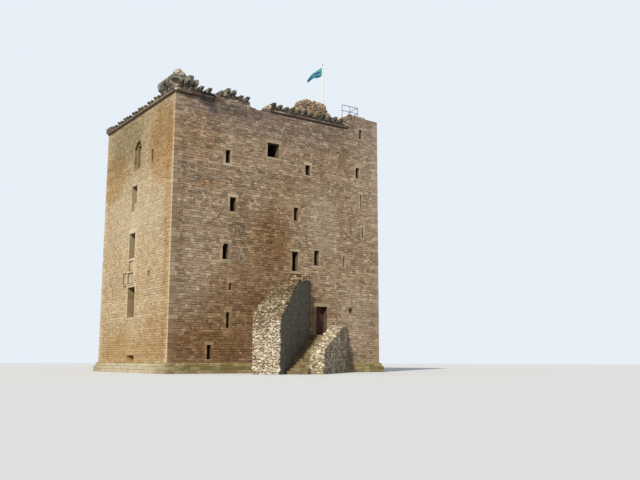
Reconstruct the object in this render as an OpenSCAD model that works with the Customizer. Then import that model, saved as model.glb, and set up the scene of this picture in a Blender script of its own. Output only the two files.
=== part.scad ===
// A ruined rubble-built castle keep: plinth, five storeys of thick walls, the corbelled wall head with
// what is left of its parapet, the stub of a curtain wall and the stair that climbs to the hall door.
// Ground is z = 0, +X runs along the entrance front to the right, and the front faces -Y.

/* [Keep] */
// Length of the entrance front
keep_w = 18900; // [17000:100:21000]
// Depth from front to back
keep_d = 13700; // [12500:100:15000]
// Thickness of the front and back walls at the bottom
front_wall_t = 3400; // [3200:50:3600]
// Thickness of the side walls at the bottom
side_wall_t = 3000; // [2800:50:3200]
// How much thinner each storey's walls are than those below, the ledge that carries a floor
ledge = 100; // [60:10:130]

/* [Levels] */
// Top of the basement floor
basement_level = 300; // [200:50:400]
// Top of the hall floor, level with the door sill
hall_level = 2900; // [2800:50:3000]
// Top of the second floor
second_level = 7650; // [7600:50:7700]
// Top of the third floor
third_level = 11300; // [11250:50:11350]
// Top of the fourth floor
fourth_level = 15200; // [15100:50:15300]
// Top of the walls and of the roof deck
head_level = 20450; // [20400:50:20600]
// Thickness of the floors
floor_t = 350; // [250:10:400]

/* [Plinth] */
// Top of the plinth
plinth_h = 750; // [650:10:850]
// How far its lower course stands out
footing_out = 300; // [220:10:400]
// Height of its lower course
footing_h = 480; // [300:10:560]
// How far its upper course stands out
course_out = 180; // [100:10:210]

/* [Doorway] */
// Left side of the doorway, from the left end of the front
door_u = 12520; // [12400:10:12600]
// Clear width of the doorway
door_w = 1080; // [1000:10:1120]
// Height of the doorway
door_h = 2250; // [2100:10:2300]
// Depth of the outer jambs that the door shuts against
jamb_depth = 500; // [350:10:600]
// Thickness of the door
leaf_t = 70; // [50:5:80]
// Radius of the pins that the door hangs on
pin_r = 12; // [10:1:14]

/* [Wall head] */
// Width of a corbel
corbel_w = 260; // [240:10:330]
// Height of a corbel
corbel_h = 520; // [460:10:600]
// How far a corbel stands out
corbel_out = 400; // [300:10:450]
// Length of the tail that lies on the wall
corbel_tail = 900; // [700:50:1000]
// Distance from one corbel to the next
corbel_pitch = 630; // [600:5:650]
// Height of the moulded course under the corbels
string_h = 250; // [180:10:300]

/* [Stair corner] */
// Left side of the corner block that holds the stair well
corner_u = 15600; // [15580:10:15640]
// Radius of the round stair well
well_r = 1000; // [850:10:1020]
// Top of the platform on the stair head
stair_head_top = 21600; // [21500:50:21700]

/* [Curtain stub and entrance stair] */
// Where the stub's stair side meets the front
stub_u = 11850; // [11700:10:11900]
// Slant of the stub and the stair from square to the front
stub_slant = 47; // [44:1:49]
// Thickness of the stub
stub_t = 2130; // [1900:10:2250]
// Width of the entrance stair
stair_w = 1600; // [1500:10:1650]
// Number of risers from the ground to the door sill
risers = 14; // [12:1:16]
// Going of one step
tread = 587; // [500:1:620]
// Thickness of the low wall on the stair's open side
flank_t = 900; // [700:50:1000]

/* [Roof pieces] */
// Height of the flagpole above the roof deck
pole_h = 6550; // [5000:50:7000]
// Height of the guard rail
rail_h = 1250; // [1000:10:1300]

/* [Hidden] */

stone = "burlywood";
pale_stone = "wheat";
dark_stone = "dimgray";

// Storeys are numbered from 0, the basement, to 4, with 5 for the roof
levels = [0, hall_level, second_level, third_level, fourth_level, head_level];
// Sides are numbered anticlockwise from the front
FRONT = 0;
RIGHT = 1;
BACK = 2;
LEFT = 3;

eps = 1;

function front_t(storey) = front_wall_t - ledge * storey;
function side_t(storey) = side_wall_t - ledge * storey;
function side_length(s) = (s == FRONT || s == BACK) ? keep_w : keep_d;
function wall_t(s, storey) = (s == FRONT || s == BACK) ? front_t(storey) : side_t(storey);
// The side walls stand between the front and back walls
function wall_start(s, storey) = (s == FRONT || s == BACK) ? 0 : front_t(storey);
function wall_end(s, storey) = s == FRONT ? corner_u : side_length(s) - wall_start(s, storey);

// Puts a child in a side's own frame: x along its face from the left, y into the wall, z up
module on_side(s) {
    corners = [[-1, -1], [1, -1], [1, 1], [-1, 1]];
    translate([corners[s][0] * keep_w / 2, corners[s][1] * keep_d / 2, 0])
        rotate([0, 0, 90 * s])
            children();
}

// Window openings: [side, storey, middle, sill, width, height, form]
// A slit or light is narrow outside and its embrasure widens towards the room.
windows = [
    [FRONT, 0, 3190, 990, 330, 1020, "vent"],
    [FRONT, 1, 4650, 3260, 270, 1120, "slit"],
    [FRONT, 1, 4790, 6040, 180, 510, "slit"],
    [FRONT, 2, 4350, 8260, 480, 1210, "arched"],
    [FRONT, 2, 10500, 7820, 580, 1530, "light"],
    [FRONT, 2, 12550, 8400, 490, 1210, "slit"],
    [FRONT, 2, 15280, 8500, 130, 900, "loop"],
    [FRONT, 3, 4890, 11930, 520, 1070, "slit"],
    [FRONT, 3, 10550, 11800, 410, 1080, "slit"],
    [FRONT, 4, 4390, 15570, 400, 1000, "slit"],
    [FRONT, 4, 8380, 16640, 1070, 1120, "light"],
    [FRONT, 4, 11660, 15650, 450, 850, "slit"],
    [LEFT, 1, 6670, 4170, 1480, 2330, "light"],
    [LEFT, 2, 6475, 8780, 1210, 1970, "light"],
    [LEFT, 3, 6500, 13100, 1050, 1480, "light"],
    [LEFT, 4, 6910, 16020, 860, 1780, "light"],
    [LEFT, 4, 9870, 15710, 400, 1070, "slit"],
    [BACK, 0, 5000, 990, 330, 1020, "vent"],
    [BACK, 0, 13900, 990, 330, 1020, "vent"],
    [BACK, 1, 6300, 4170, 1400, 2330, "light"],
    [BACK, 1, 12600, 4170, 1400, 2330, "light"],
    [BACK, 2, 4400, 8400, 480, 1210, "slit"],
    [BACK, 2, 9450, 8780, 1100, 1970, "light"],
    [BACK, 2, 14500, 8400, 480, 1210, "slit"],
    [BACK, 3, 4500, 11930, 450, 1070, "slit"],
    [BACK, 3, 9450, 12900, 1050, 1480, "light"],
    [BACK, 3, 14200, 11930, 450, 1070, "slit"],
    [BACK, 4, 4400, 15650, 400, 1000, "slit"],
    [BACK, 4, 9450, 16640, 1000, 1120, "light"],
    [BACK, 4, 14500, 15650, 400, 1000, "slit"],
    [RIGHT, 0, 6850, 990, 330, 1020, "vent"],
    [RIGHT, 1, 6850, 4170, 1300, 2330, "light"],
    [RIGHT, 2, 6850, 8400, 480, 1210, "slit"],
    [RIGHT, 3, 6850, 11930, 450, 1070, "slit"],
    [RIGHT, 4, 6850, 15650, 450, 1000, "slit"]
];

// Depth of the straight outer part of a window
outer_reveal = 500;
// How far the embrasure's head and sill lie above and below the light
embrasure_rise = 100;
function inner_width(w, form) =
    form == "vent" ? w : form == "loop" ? w + 300 : form == "light" ? w + 500 : w + 900;

// Cuts one window through a wall that is t thick
module window_cut(w, t) {
    mid = w[2];
    sill = w[3];
    half = w[4] / 2;
    high = w[5];
    inner = inner_width(w[4], w[6]) / 2;
    straight = w[6] == "arched" ? high - half : high;
    translate([mid - half, -eps, sill])
        cube([2 * half, outer_reveal + 2 * eps, straight]);
    if (w[6] == "arched")
        translate([mid, -eps, sill + straight])
            rotate([-90, 0, 0])
                cylinder(h = outer_reveal + 2 * eps, r = half, $fn = 32);
    translate([0, 0, sill - embrasure_rise])
        linear_extrude(high + 2 * embrasure_rise)
            polygon([[mid - half, outer_reveal], [mid + half, outer_reveal],
                     [mid + inner, t + eps], [mid - inner, t + eps]]);
}

// The slab of a storey's floor, which rests on the ledge round the room below
module floor_slab(storey) {
    t = storey == 5 ? ledge * 5 : ledge * storey;
    l = keep_w - 2 * (side_wall_t - t);
    w = keep_d - 2 * (front_wall_t - t);
    translate([-l / 2, -w / 2, levels[storey] - floor_t])
        cube([l, w, floor_t]);
}

// One storey of one side's wall, with its windows and the ledge for the floor above
module wall(s, storey, from = undef, to = undef) {
    t = wall_t(s, storey);
    u0 = is_undef(from) ? wall_start(s, storey) : from;
    u1 = is_undef(to) ? wall_end(s, storey) : to;
    difference() {
        on_side(s)
            difference() {
                translate([u0, 0, levels[storey]])
                    cube([u1 - u0, t, levels[storey + 1] - levels[storey]]);
                for (w = windows)
                    if (w[0] == s && w[1] == storey)
                        window_cut(w, t);
            }
        floor_slab(storey + 1);
    }
}

// A shallow blind hole left by a lost stone or a scaffold beam
module blind_hole(mid, sill, w, h, deep = 250) {
    translate([mid - w / 2, -eps, sill])
        cube([w, deep + eps, h]);
}

/* Plinth and ground */

plinth_gap = 4;
chamfer = 60;
// Long enough to cross the front plinth on the slant, and short of the other sides
plan_far = 9000;

// The plinth along one side, mitred at both ends
module plinth_side(s) {
    l = side_length(s);
    far = footing_out + 1;
    on_side(s)
        difference() {
            translate([-far, 0, 0])
                rotate([90, 0, 90])
                    linear_extrude(l + 2 * far)
                        polygon([[0, 0], [-footing_out, 0], [-footing_out, footing_h],
                                 [-course_out, footing_h], [-course_out, plinth_h - chamfer],
                                 [-course_out + chamfer, plinth_h], [0, plinth_h]]);
            translate([plinth_gap / 2, 0, -eps])
                rotate([0, 0, 135])
                    cube([2 * far, 2 * far, plinth_h + 2 * eps]);
            translate([l - plinth_gap / 2, 0, -eps])
                rotate([0, 0, -45])
                    cube([2 * far, 2 * far, plinth_h + 2 * eps]);
        }
}

module plinth() {
    color(pale_stone)
        difference() {
            for (s = [FRONT : LEFT])
                plinth_side(s);
            stub_frame()
                translate([-plan_far / 2, -stub_t - eps, -eps])
                    cube([plan_far, stub_t + stair_w + flank_t + 2 * eps, plinth_h + 2 * eps]);
        }
}

module basement_floor() {
    l = keep_w - 2 * side_t(0);
    w = keep_d - 2 * front_t(0);
    color(stone)
        translate([-l / 2, -w / 2, 0])
            cube([l, w, basement_level]);
}

/* Walls */

module front_wall_basement() {
    color(stone)
        wall(FRONT, 0, 0, keep_w);
}

// Widths of the passage behind the door, at the door and at the room
passage_u0 = door_u - 120;
passage_u1 = door_u + door_w + 120;
passage_splay = 150;
passage_straight = 250;

// Outline of the wall on the left of the passage
module hall_left_plan(t) {
    polygon([[0, 0], [door_u, 0], [door_u, jamb_depth], [passage_u0, jamb_depth],
             [passage_u0, jamb_depth + passage_straight], [passage_u0 - passage_splay, t], [0, t]]);
}

module hall_right_plan(t) {
    polygon([[door_u + door_w, 0], [corner_u, 0], [corner_u, t], [passage_u1 + passage_splay, t],
             [passage_u1, jamb_depth + passage_straight], [passage_u1, jamb_depth],
             [door_u + door_w, jamb_depth]]);
}

door_top = hall_level + door_h;

// The hall storey's front wall is split beside and over the doorway
module front_wall_hall_left() {
    t = front_t(1);
    color(stone)
        difference() {
            on_side(FRONT)
                difference() {
                    translate([0, 0, hall_level])
                        linear_extrude(second_level - hall_level)
                            hall_left_plan(t);
                    for (w = windows)
                        if (w[0] == FRONT && w[1] == 1)
                            window_cut(w, t);
                }
            floor_slab(2);
        }
}

module front_wall_hall_right() {
    color(stone)
        difference() {
            on_side(FRONT)
                translate([0, 0, hall_level])
                    linear_extrude(second_level - hall_level)
                        hall_right_plan(front_t(1));
            floor_slab(2);
        }
}

module front_wall_over_door() {
    t = front_t(1);
    color(stone)
        difference() {
            on_side(FRONT)
                union() {
                    translate([door_u, 0, door_top])
                        cube([door_w, jamb_depth, second_level - door_top]);
                    translate([0, 0, door_top + 60])
                        linear_extrude(second_level - door_top - 60)
                            polygon([[passage_u0, jamb_depth], [passage_u1, jamb_depth],
                                     [passage_u1, jamb_depth + passage_straight],
                                     [passage_u1 + passage_splay, t], [passage_u0 - passage_splay, t],
                                     [passage_u0, jamb_depth + passage_straight]]);
                }
            floor_slab(2);
        }
}

module front_wall_second() {
    color(stone)
        wall(FRONT, 2);
}

module front_wall_third() {
    color(stone)
        wall(FRONT, 3);
}

// The wall head is broken down where the parapet has fallen
breach_u0 = 6200;
breach_u1 = 7560;
breach_deep = 900;

module front_wall_fourth() {
    color(stone)
        difference() {
            wall(FRONT, 4);
            on_side(FRONT)
                translate([0, breach_deep, 0])
                    rotate([90, 0, 0])
                        linear_extrude(breach_deep + eps)
                            polygon([[breach_u0, head_level + eps], [breach_u0 + 120, head_level - 120],
                                     [breach_u0 + 520, head_level - 150],
                                     [breach_u0 + 620, head_level - 230],
                                     [breach_u1 - 260, head_level - 210],
                                     [breach_u1 - 160, head_level - 110],
                                     [breach_u1, head_level + eps]]);
        }
}

// A side's two lowest storeys, in one piece with the ledge between them
module lower_wall(s) {
    color(stone)
        difference() {
            union() {
                wall(s, 0);
                wall(s, 1);
            }
            children();
        }
}

module right_wall_lower() {
    lower_wall(RIGHT);
}

module right_wall_second() {
    color(stone)
        wall(RIGHT, 2);
}

module right_wall_third() {
    color(stone)
        wall(RIGHT, 3);
}

module right_wall_fourth() {
    color(stone)
        wall(RIGHT, 4);
}

module back_wall_lower() {
    lower_wall(BACK);
}

module back_wall_second() {
    color(stone)
        wall(BACK, 2);
}

module back_wall_third() {
    color(stone)
        wall(BACK, 3);
}

module back_wall_fourth() {
    color(stone)
        wall(BACK, 4);
}

gun_mid = 6980;
gun_sill = 820;
gun_h = 460;
gun_mouth_w = 1560;
gun_throat_w = 260;
gun_throat_depth = 700;
gun_room_w = 900;

// A wide-mouthed gun loop, narrow inside its mouth and wide again towards the room
module gun_loop(t) {
    translate([0, 0, gun_sill])
        linear_extrude(gun_h)
            polygon([[gun_mid - gun_mouth_w / 2, -eps], [gun_mid + gun_mouth_w / 2, -eps],
                     [gun_mid + gun_throat_w / 2, gun_throat_depth], [gun_mid + gun_room_w / 2, t + eps],
                     [gun_mid - gun_room_w / 2, t + eps], [gun_mid - gun_throat_w / 2, gun_throat_depth]]);
}

module left_wall_lower() {
    lower_wall(LEFT)
        on_side(LEFT) {
            gun_loop(side_t(0));
            blind_hole(9905, 7110, 300, 370);
        }
}

module left_wall_second() {
    color(stone)
        wall(LEFT, 2);
}

// Below the third-storey window a narrower light runs on down
module left_wall_third() {
    color(stone)
        difference() {
            wall(LEFT, 3);
            on_side(LEFT)
                translate([6000, -eps, 12520])
                    cube([600, outer_reveal + eps, 600]);
        }
}

// The top window has lost its margins and the stones round it
module left_wall_fourth() {
    color(stone)
        difference() {
            wall(LEFT, 4);
            on_side(LEFT)
                translate([0, 180, 0])
                    rotate([90, 0, 0])
                        linear_extrude(180 + eps)
                            polygon([[6250, 15900], [7350, 15800], [7520, 16300], [7420, 17000],
                                     [7560, 17650], [7180, 18150], [6620, 18050], [6150, 17600],
                                     [6330, 17000], [6180, 16400]]);
        }
}

/* Stair corner */

well_mid = [17250, 1650];
well_top = 20700;

// Narrow loops and slits that light the stair: [middle, sill, width, height]
well_lights = [[17080, 13550, 120, 1200], [17250, 11090, 120, 840],
               [16730, 16120, 370, 900], [17080, 19600, 270, 820]];

module corner_storeys(first, last) {
    for (storey = [first : last])
        translate([corner_u, 0, levels[storey]])
            cube([keep_w - corner_u, front_t(storey), levels[storey + 1] - levels[storey]]);
}

module corner_floors(first, last) {
    for (storey = [first : last])
        floor_slab(storey + 1);
}

module stair_well(z0, z1) {
    translate([well_mid[0], well_mid[1], z0])
        cylinder(h = z1 - z0, r = well_r, $fn = 64);
    for (w = well_lights)
        if (w[1] > z0 && w[1] < z1)
            blind_hole(w[0], w[1], w[2], w[3], well_mid[1] - well_r / 2);
}

module stair_corner_lower() {
    color(stone)
        difference() {
            on_side(FRONT)
                difference() {
                    corner_storeys(1, 3);
                    stair_well(hall_level - eps, fourth_level + eps);
                    blind_hole(15990, 4770, 360, 360);
                }
            corner_floors(1, 3);
        }
}

// The stair head stands above the wall head and its broken side slopes down to the wall walk
module stair_corner_upper() {
    depth = front_t(4);
    color(stone)
        difference() {
            on_side(FRONT)
                difference() {
                    union() {
                        corner_storeys(4, 4);
                        translate([0, depth, 0])
                            rotate([90, 0, 0])
                                linear_extrude(depth)
                                    polygon([[corner_u, head_level - eps], [corner_u, head_level + 110],
                                             [corner_u + 160, head_level + 420],
                                             [corner_u + 300, head_level + 560],
                                             [corner_u + 350, stair_head_top], [17500, stair_head_top],
                                             [17650, stair_head_top - 130], [keep_w, stair_head_top - 150],
                                             [keep_w, head_level - eps]]);
                    }
                    stair_well(fourth_level - eps, well_top);
                }
            corner_floors(4, 4);
        }
}

/* Floors */

module hall_floor() {
    color(pale_stone)
        floor_slab(1);
}

module second_floor() {
    color(pale_stone)
        floor_slab(2);
}

module third_floor() {
    color(pale_stone)
        floor_slab(3);
}

module fourth_floor() {
    color(pale_stone)
        floor_slab(4);
}

module roof_deck() {
    color(pale_stone)
        floor_slab(5);
}

/* Wall head */

// Points of a quarter round in a corbel's profile
function quarter(cx, cz, r) = [for (a = [-90 : 22.5 : 0]) [cx + r * cos(a), cz + r * sin(a)]];

// Profile of a corbel: two rounded steps under its nose, and a tail on the wall
module corbel_profile(h, out, tail) {
    step = h * 0.45;
    r = min(step, out / 2) - 20;
    first = out / 2;
    polygon(concat([[-tail, 0], [0, 0]], quarter(first - r, r, r), [[first, step]],
                   quarter(out - r, step + r, r), [[out, h], [-tail, h]]));
}

// One corbel at a place along its side
module corbel(mid, h = corbel_h, out = corbel_out, foot = head_level, tail = corbel_tail) {
    translate([mid - corbel_w / 2, 0, foot])
        rotate([90, 0, 90])
            mirror([1, 0, 0])
                linear_extrude(corbel_w)
                    corbel_profile(h, out, tail);
}

// The moulded course under a row of corbels
module string_course(u0, u1) {
    translate([u0, 0, head_level - string_h])
        rotate([90, 0, 90])
            linear_extrude(u1 - u0)
                polygon([[0, 0], [-60, 0], [-60, 60], [-110, 110], [-150, 130], [-150, string_h],
                         [0, string_h]]);
}

// Corbels differ a little in height, in a fixed but irregular order
function corbel_drop(i, most) = most * ((i * 7) % 5) / 4;

// Left of the breach the corbels stand on one more course, and most have lost their tops: [middle, height]
course_top = head_level + 200;
left_course_end = breach_u0 - 60;
broken_corbels = [[1500, 700], [1950, 340], [2620, 330], [3620, 340], [4180, 640], [4680, 590],
                  [5300, 300], [5870, 320]];
// The near corner keeps a cap slab on the noses of its corbels
cap_foot = course_top + corbel_h;
cap_h = 280;
cap_front = 1240;
cap_side = 2460;
// The string course has fallen beyond this place, and starts again right of the breach
string_left = 3000;
string_right = 8050;
// Most corbels of the other sides have lost their noses too
low_h = 300;
low_out = 260;

module front_corbels() {
    color(dark_stone)
        on_side(FRONT) {
            string_course(0, string_left);
            string_course(string_right, corner_u);
            for (u = [180, 640, 1080])
                corbel(u, corbel_h, corbel_out, course_top, 0);
            translate([-corbel_out, -corbel_out, cap_foot])
                cube([cap_front + corbel_out, corbel_out + corbel_tail, cap_h]);
            translate([900, -corbel_out + 60, cap_foot + cap_h])
                cube([cap_front - 900, corbel_tail, 170]);
            for (c = broken_corbels)
                corbel(c[0], c[1], corbel_out, course_top);
            for (i = [0 : 11])
                corbel(8250 + (corbel_pitch - 30) * i, corbel_h - corbel_drop(i, 120));
        }
}

module right_corbels() {
    start = front_t(4) + 150;
    color(dark_stone)
        on_side(RIGHT) {
            string_course(start, keep_d);
            for (i = [0 : 13])
                corbel(start + 450 + corbel_pitch * i, low_h - corbel_drop(i, 100), low_out);
        }
}

// A block that carries the corner between two rows
module corner_corbel() {
    out = 200;
    translate([-out, -out, head_level])
        cube([corbel_tail + out, corbel_tail + out, low_h + 100]);
}

module back_corbels() {
    color(dark_stone)
        on_side(BACK) {
            string_course(0, keep_w);
            corner_corbel();
            translate([keep_w, 0, 0])
                mirror([1, 0, 0])
                    corner_corbel();
            for (i = [0 : 25])
                corbel(1550 + corbel_pitch * i, low_h - corbel_drop(i + 2, 100), low_out);
        }
}

module left_corbels() {
    color(dark_stone)
        on_side(LEFT) {
            string_course(0, keep_d);
            for (i = [0 : 15])
                corbel(1550 + corbel_pitch * i, low_h - corbel_drop(i + 1, 120), low_out);
            for (u = [1540, 2170])
                corbel(keep_d - u, cap_foot - head_level);
            for (u = [250, 780])
                corbel(keep_d - u, cap_foot - head_level, corbel_out, head_level, 0);
            translate([keep_d - cap_side, -corbel_out, cap_foot])
                cube([cap_side - corbel_tail - 4, corbel_out + corbel_tail, cap_h]);
        }
}

// A lump of broken masonry: an elevation and a side view, each extruded, and what both hold
module rubble_mass(elevation, side_view) {
    far = 20000;
    intersection() {
        translate([0, far, 0])
            rotate([90, 0, 0])
                linear_extrude(2 * far)
                    polygon(elevation);
        translate([-far, 0, 0])
            rotate([90, 0, 90])
                linear_extrude(2 * far)
                    polygon(side_view);
    }
}

module parapet_remains() {
    color(stone)
        on_side(FRONT) {
            // The course under the corbels, and the masonry behind the noses at the corner
            translate([0, 0, head_level])
                cube([left_course_end, corbel_tail + 60, course_top - head_level]);
            translate([0, 0, course_top])
                cube([cap_front, corbel_tail, corbel_h]);
            // The lump of wall core on the cap slab
            translate([0, 0, cap_foot + cap_h])
                rubble_mass([[-90, 0], [-60, 290], [20, 500], [150, 590], [330, 560], [520, 330], [640, 230],
                             [830, 130], [850, 0]],
                            [[-120, 0], [-100, 330], [40, 550], [220, 590], [400, 460], [620, 250],
                             [850, 120], [860, 0]]);
            // Pale stones at the right side of the breach
            translate([0, 0, head_level])
                rubble_mass([[7600, 0], [7640, 180], [7800, 220], [7900, 380], [8060, 400], [8060, 0]],
                            [[0, 0], [0, 340], [120, 400], [620, 260], [700, 0]]);
        }
}

module chimney_remains() {
    color("peru")
        on_side(FRONT)
            translate([0, 0, head_level])
                rubble_mass([[12150, 0], [12100, 900], [12180, 1900], [12330, 2150], [12900, 2200],
                             [13010, 1850], [13130, 1830], [13280, 2260], [14050, 2300], [14350, 2020],
                             [14500, 1500], [14850, 1180], [14980, 600], [15000, 0]],
                            [[1350, 0], [1350, 1700], [1520, 2120], [1900, 2300], [2400, 2240],
                             [2760, 1900], [2860, 1100], [2860, 0]]);
}

/* Curtain stub and entrance stair */

// x runs out along the stub from the front and y to its stair side
module stub_frame() {
    translate([stub_u - keep_w / 2, -keep_d / 2, 0])
        rotate([0, 0, 270 - stub_slant])
            children();
}

module in_front() {
    difference() {
        children();
        translate([-keep_w, -keep_d / 2, -eps])
            cube([2 * keep_w, keep_d, head_level]);
    }
}

stub_leaves = 4;
stub_step = 320;
stub_course = 240;
stub_jitter = rands(-150, 150, 240, 11);

// How much higher each leaf stands where the stub meets the front
stub_rise = [150, 950, 650, 100];
stub_rise_l = 4500;
// The broken top stays under the sill course of the tall window
stub_head = 7560;

// Height of the broken top, along the stub and across it from the outer face (0) to the stair face (1)
function stub_height(x, across) =
    let (outer = 7350 - 0.43 * x, stair_side = x < 3300 ? 7080 - 0.03 * x : 6980 - 0.53 * (x - 3300))
    (1 - across) * outer + across * stair_side;
function stub_length(across) = 7650 + 1150 * across;

// Top outline of one leaf of the wall, broken course by course
function stub_outline(leaf) =
    let (across = (leaf + 0.5) / stub_leaves, n = floor(stub_length(across) / stub_step))
    [for (i = [0 : n])
        let (x = i * stub_step, rise = stub_rise[leaf] * max(0, 1 - x / stub_rise_l),
             z = stub_height(x, across) + rise + stub_jitter[leaf * 40 + i],
             top = min(stub_head, stub_course * round(z / stub_course)))
        each [[x, top], [x + stub_step * 0.92, top - 20]]];

module curtain_stub() {
    leaf_t = stub_t / stub_leaves;
    color(pale_stone)
        in_front()
            stub_frame()
                for (leaf = [0 : stub_leaves - 1])
                    let (top = stub_outline(leaf), last = top[len(top) - 1])
                        translate([0, -stub_t + (leaf + 1) * leaf_t, 0])
                            rotate([90, 0, 0])
                                linear_extrude(leaf_t)
                                    polygon(concat([[0, 0]], top, [[last[0] + 60, 0]]));
}

joint_gap = 3;

// One solid step for each tread, and the landing before the door
module entrance_steps() {
    riser = hall_level / risers;
    color(pale_stone)
        stub_frame()
            for (i = [1 : risers - 1])
                translate([(i - 1) * tread + joint_gap, 0, 0])
                    cube([tread - joint_gap, stair_w, hall_level - i * riser]);
    color(pale_stone)
        in_front()
            stub_frame()
                translate([-2 * stair_w, 0, 0])
                    cube([2 * stair_w, stair_w, hall_level]);
}

module stair_flank_wall() {
    color(pale_stone)
        in_front()
            stub_frame()
                translate([0, stair_w + flank_t, 0])
                    rotate([90, 0, 0])
                        linear_extrude(flank_t)
                            polygon([[-3000, 0], [-3000, 3700], [-900, 3650], [-500, 3480], [100, 3500],
                                     [350, 3250], [1000, 3220], [1250, 2980], [1900, 2950], [2200, 2700],
                                     [2900, 2680], [3150, 2420], [3900, 2380], [4200, 2180], [5000, 2120],
                                     [5300, 1880], [6100, 1840], [6350, 1500], [6500, 900], [6650, 0]]);
}

/* Door */

leaf_gap = 5;
leaf_side_gap = 20;
leaf_front = jamb_depth + leaf_gap;
leaf_left = passage_u0 + leaf_side_gap + 10;
leaf_right = passage_u1 - leaf_side_gap;
leaf_foot = 15;
leaf_high = door_h + 35;
pin_u = passage_u0 + 40;
pin_v = leaf_front + leaf_t + 25;
eye_r = 20;
pin_play = 1;
strap_h = 60;
strap_t = 10;
strap_l = 1000;
strap_heights = [450, 1750];

module door_leaf() {
    color("saddlebrown")
        on_side(FRONT)
            translate([leaf_left, leaf_front, hall_level + leaf_foot])
                cube([leaf_right - leaf_left, leaf_t, leaf_high - leaf_foot]);
}

// A flat iron strap with an eye that turns on its pin
module strap() {
    difference() {
        union() {
            translate([pin_u, pin_v - 25, 0])
                cube([strap_l, strap_t, strap_h]);
            translate([pin_u, pin_v, 0])
                cylinder(h = strap_h, r = eye_r, $fn = 48);
        }
        translate([pin_u, pin_v, -eps])
            cylinder(h = strap_h + 2 * eps, r = pin_r + pin_play, $fn = 48);
    }
}

module door_straps() {
    color("dimgray")
        on_side(FRONT)
            for (z = strap_heights)
                translate([0, 0, hall_level + z])
                    strap();
}

// The pins stand on short iron tails that come out of the left jamb
module door_pintles() {
    color("dimgray")
        on_side(FRONT)
            for (z = strap_heights)
                translate([0, 0, hall_level + z - 3]) {
                    translate([pin_u, pin_v, -eps])
                        cylinder(h = strap_h + 25, r = pin_r, $fn = 48);
                    translate([passage_u0, pin_v - pin_r, -35])
                        cube([pin_u - passage_u0 + pin_r, 2 * pin_r, 35]);
                }
}

/* Dressed stone */

margin_w = 180;
margin_out = 50;

// A margin of dressed stone round an opening, on the face of the wall
module surround(mid, sill, w, h, sill_h = 200) {
    translate([0, -margin_out, 0])
        difference() {
            translate([mid - w / 2 - margin_w, 0, sill - sill_h])
                cube([w + 2 * margin_w, margin_out, h + margin_w + sill_h]);
            translate([mid - w / 2, -eps, sill])
                cube([w, margin_out + 2 * eps, h]);
        }
}

module sill_stone(mid, top, w, h = 120) {
    translate([mid - w / 2, -margin_out, top - h])
        cube([w, margin_out, h]);
}

module window_surrounds() {
    color(pale_stone)
        on_side(FRONT) {
            surround(8380, 16640, 1070, 1120, 360);
            surround(10500, 7820, 580, 1530, 120);
            sill_stone(10370, 7690, 1960, 80);
            sill_stone(4350, 8260, 760);
            sill_stone(10550, 11800, 760);
            translate([door_u - 60, -margin_out, door_top])
                cube([door_w + 200, margin_out, 200]);
        }
    color(pale_stone)
        on_side(LEFT) {
            surround(6670, 4170, 1480, 2330);
            surround(6475, 8780, 1210, 1970, 100);
            surround(6500, 13100, 1050, 1480, 100);
        }
}

// Plain panels in moulded frames, without their carving: [middle, foot, width, height]
panels = [[6600, 7720, 980, 900], [6610, 6700, 1300, 980], [5420, 6700, 960, 1060]];
frame_w = 110;
frame_out = 90;

module armorial_panels() {
    color(pale_stone)
        on_side(LEFT)
            for (p = panels)
                translate([p[0] - p[2] / 2, -frame_out, p[1]])
                    difference() {
                        cube([p[2], frame_out, p[3]]);
                        translate([frame_w, -eps, frame_w])
                            cube([p[2] - 2 * frame_w, frame_out - 30, p[3] - 2 * frame_w]);
                    }
}

/* Rail, pole and flag */

rail_x = [16050, 16900, 17750];
rail_y = [1200, 2500];
tube_r = 24;

module upright(x, y, z, h) {
    translate([x, y, z])
        cylinder(h = h, r = tube_r, $fn = 24);
}

module bar_x(x0, x1, y, z) {
    translate([x0, y, z])
        rotate([0, 90, 0])
            cylinder(h = x1 - x0, r = tube_r, $fn = 24);
}

module bar_y(x, y0, y1, z) {
    translate([x, y0, z])
        rotate([-90, 0, 0])
            cylinder(h = y1 - y0, r = tube_r, $fn = 24);
}

module guard_rail() {
    color("slategray")
        on_side(FRONT)
            union() {
                for (x = rail_x)
                    upright(x, rail_y[0], stair_head_top, rail_h);
                upright(rail_x[2], rail_y[1], stair_head_top, rail_h);
                for (z = [rail_h - tube_r, rail_h * 0.58]) {
                    bar_x(rail_x[0], rail_x[2], rail_y[0], stair_head_top + z);
                    bar_y(rail_x[2], rail_y[0], rail_y[1], stair_head_top + z);
                }
            }
}

pole_u = 15400;
pole_v = 3200;
pole_r = 75;
pole_top_r = 55;
finial_h = 120;
finial_r = 45;

module flagpole() {
    shaft_h = pole_h - finial_h;
    color("white")
        on_side(FRONT)
            translate([pole_u, pole_v, head_level]) {
                cylinder(h = 40, r = 170, $fn = 48);
                cylinder(h = 350, r = pole_r + 25, $fn = 48);
                cylinder(h = shaft_h, r1 = pole_r, r2 = pole_top_r, $fn = 48);
                translate([0, 0, shaft_h - 20])
                    cylinder(h = 60, r = 25, $fn = 48);
                translate([0, 0, pole_h - finial_r])
                    sphere(r = finial_r, $fn = 48);
            }
}

flag_fly = 1330;
flag_hoist = 730;
flag_t = 24;
flag_wave = 70;
flag_points = 16;
// How far the wind turns it from the line of the front
flag_turn = -36;
// The edges of the flag as it hangs from its upper corner: [share of the way out, drop]
flag_upper = [[0, 0], [0.53, 480], [0.78, 720], [0.86, 1000], [1.02, 1340]];
flag_lower = [[1.02, 1430], [0.75, 1300], [0.53, 1110], [0.28, 930], [0, flag_hoist]];

// Plan of the flag: a band that waves as it leaves the pole
function flag_line(i) =
    [-pole_top_r - 8 - flag_fly * i / flag_points, flag_wave * sin(360 * 1.25 * i / flag_points)];

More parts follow.
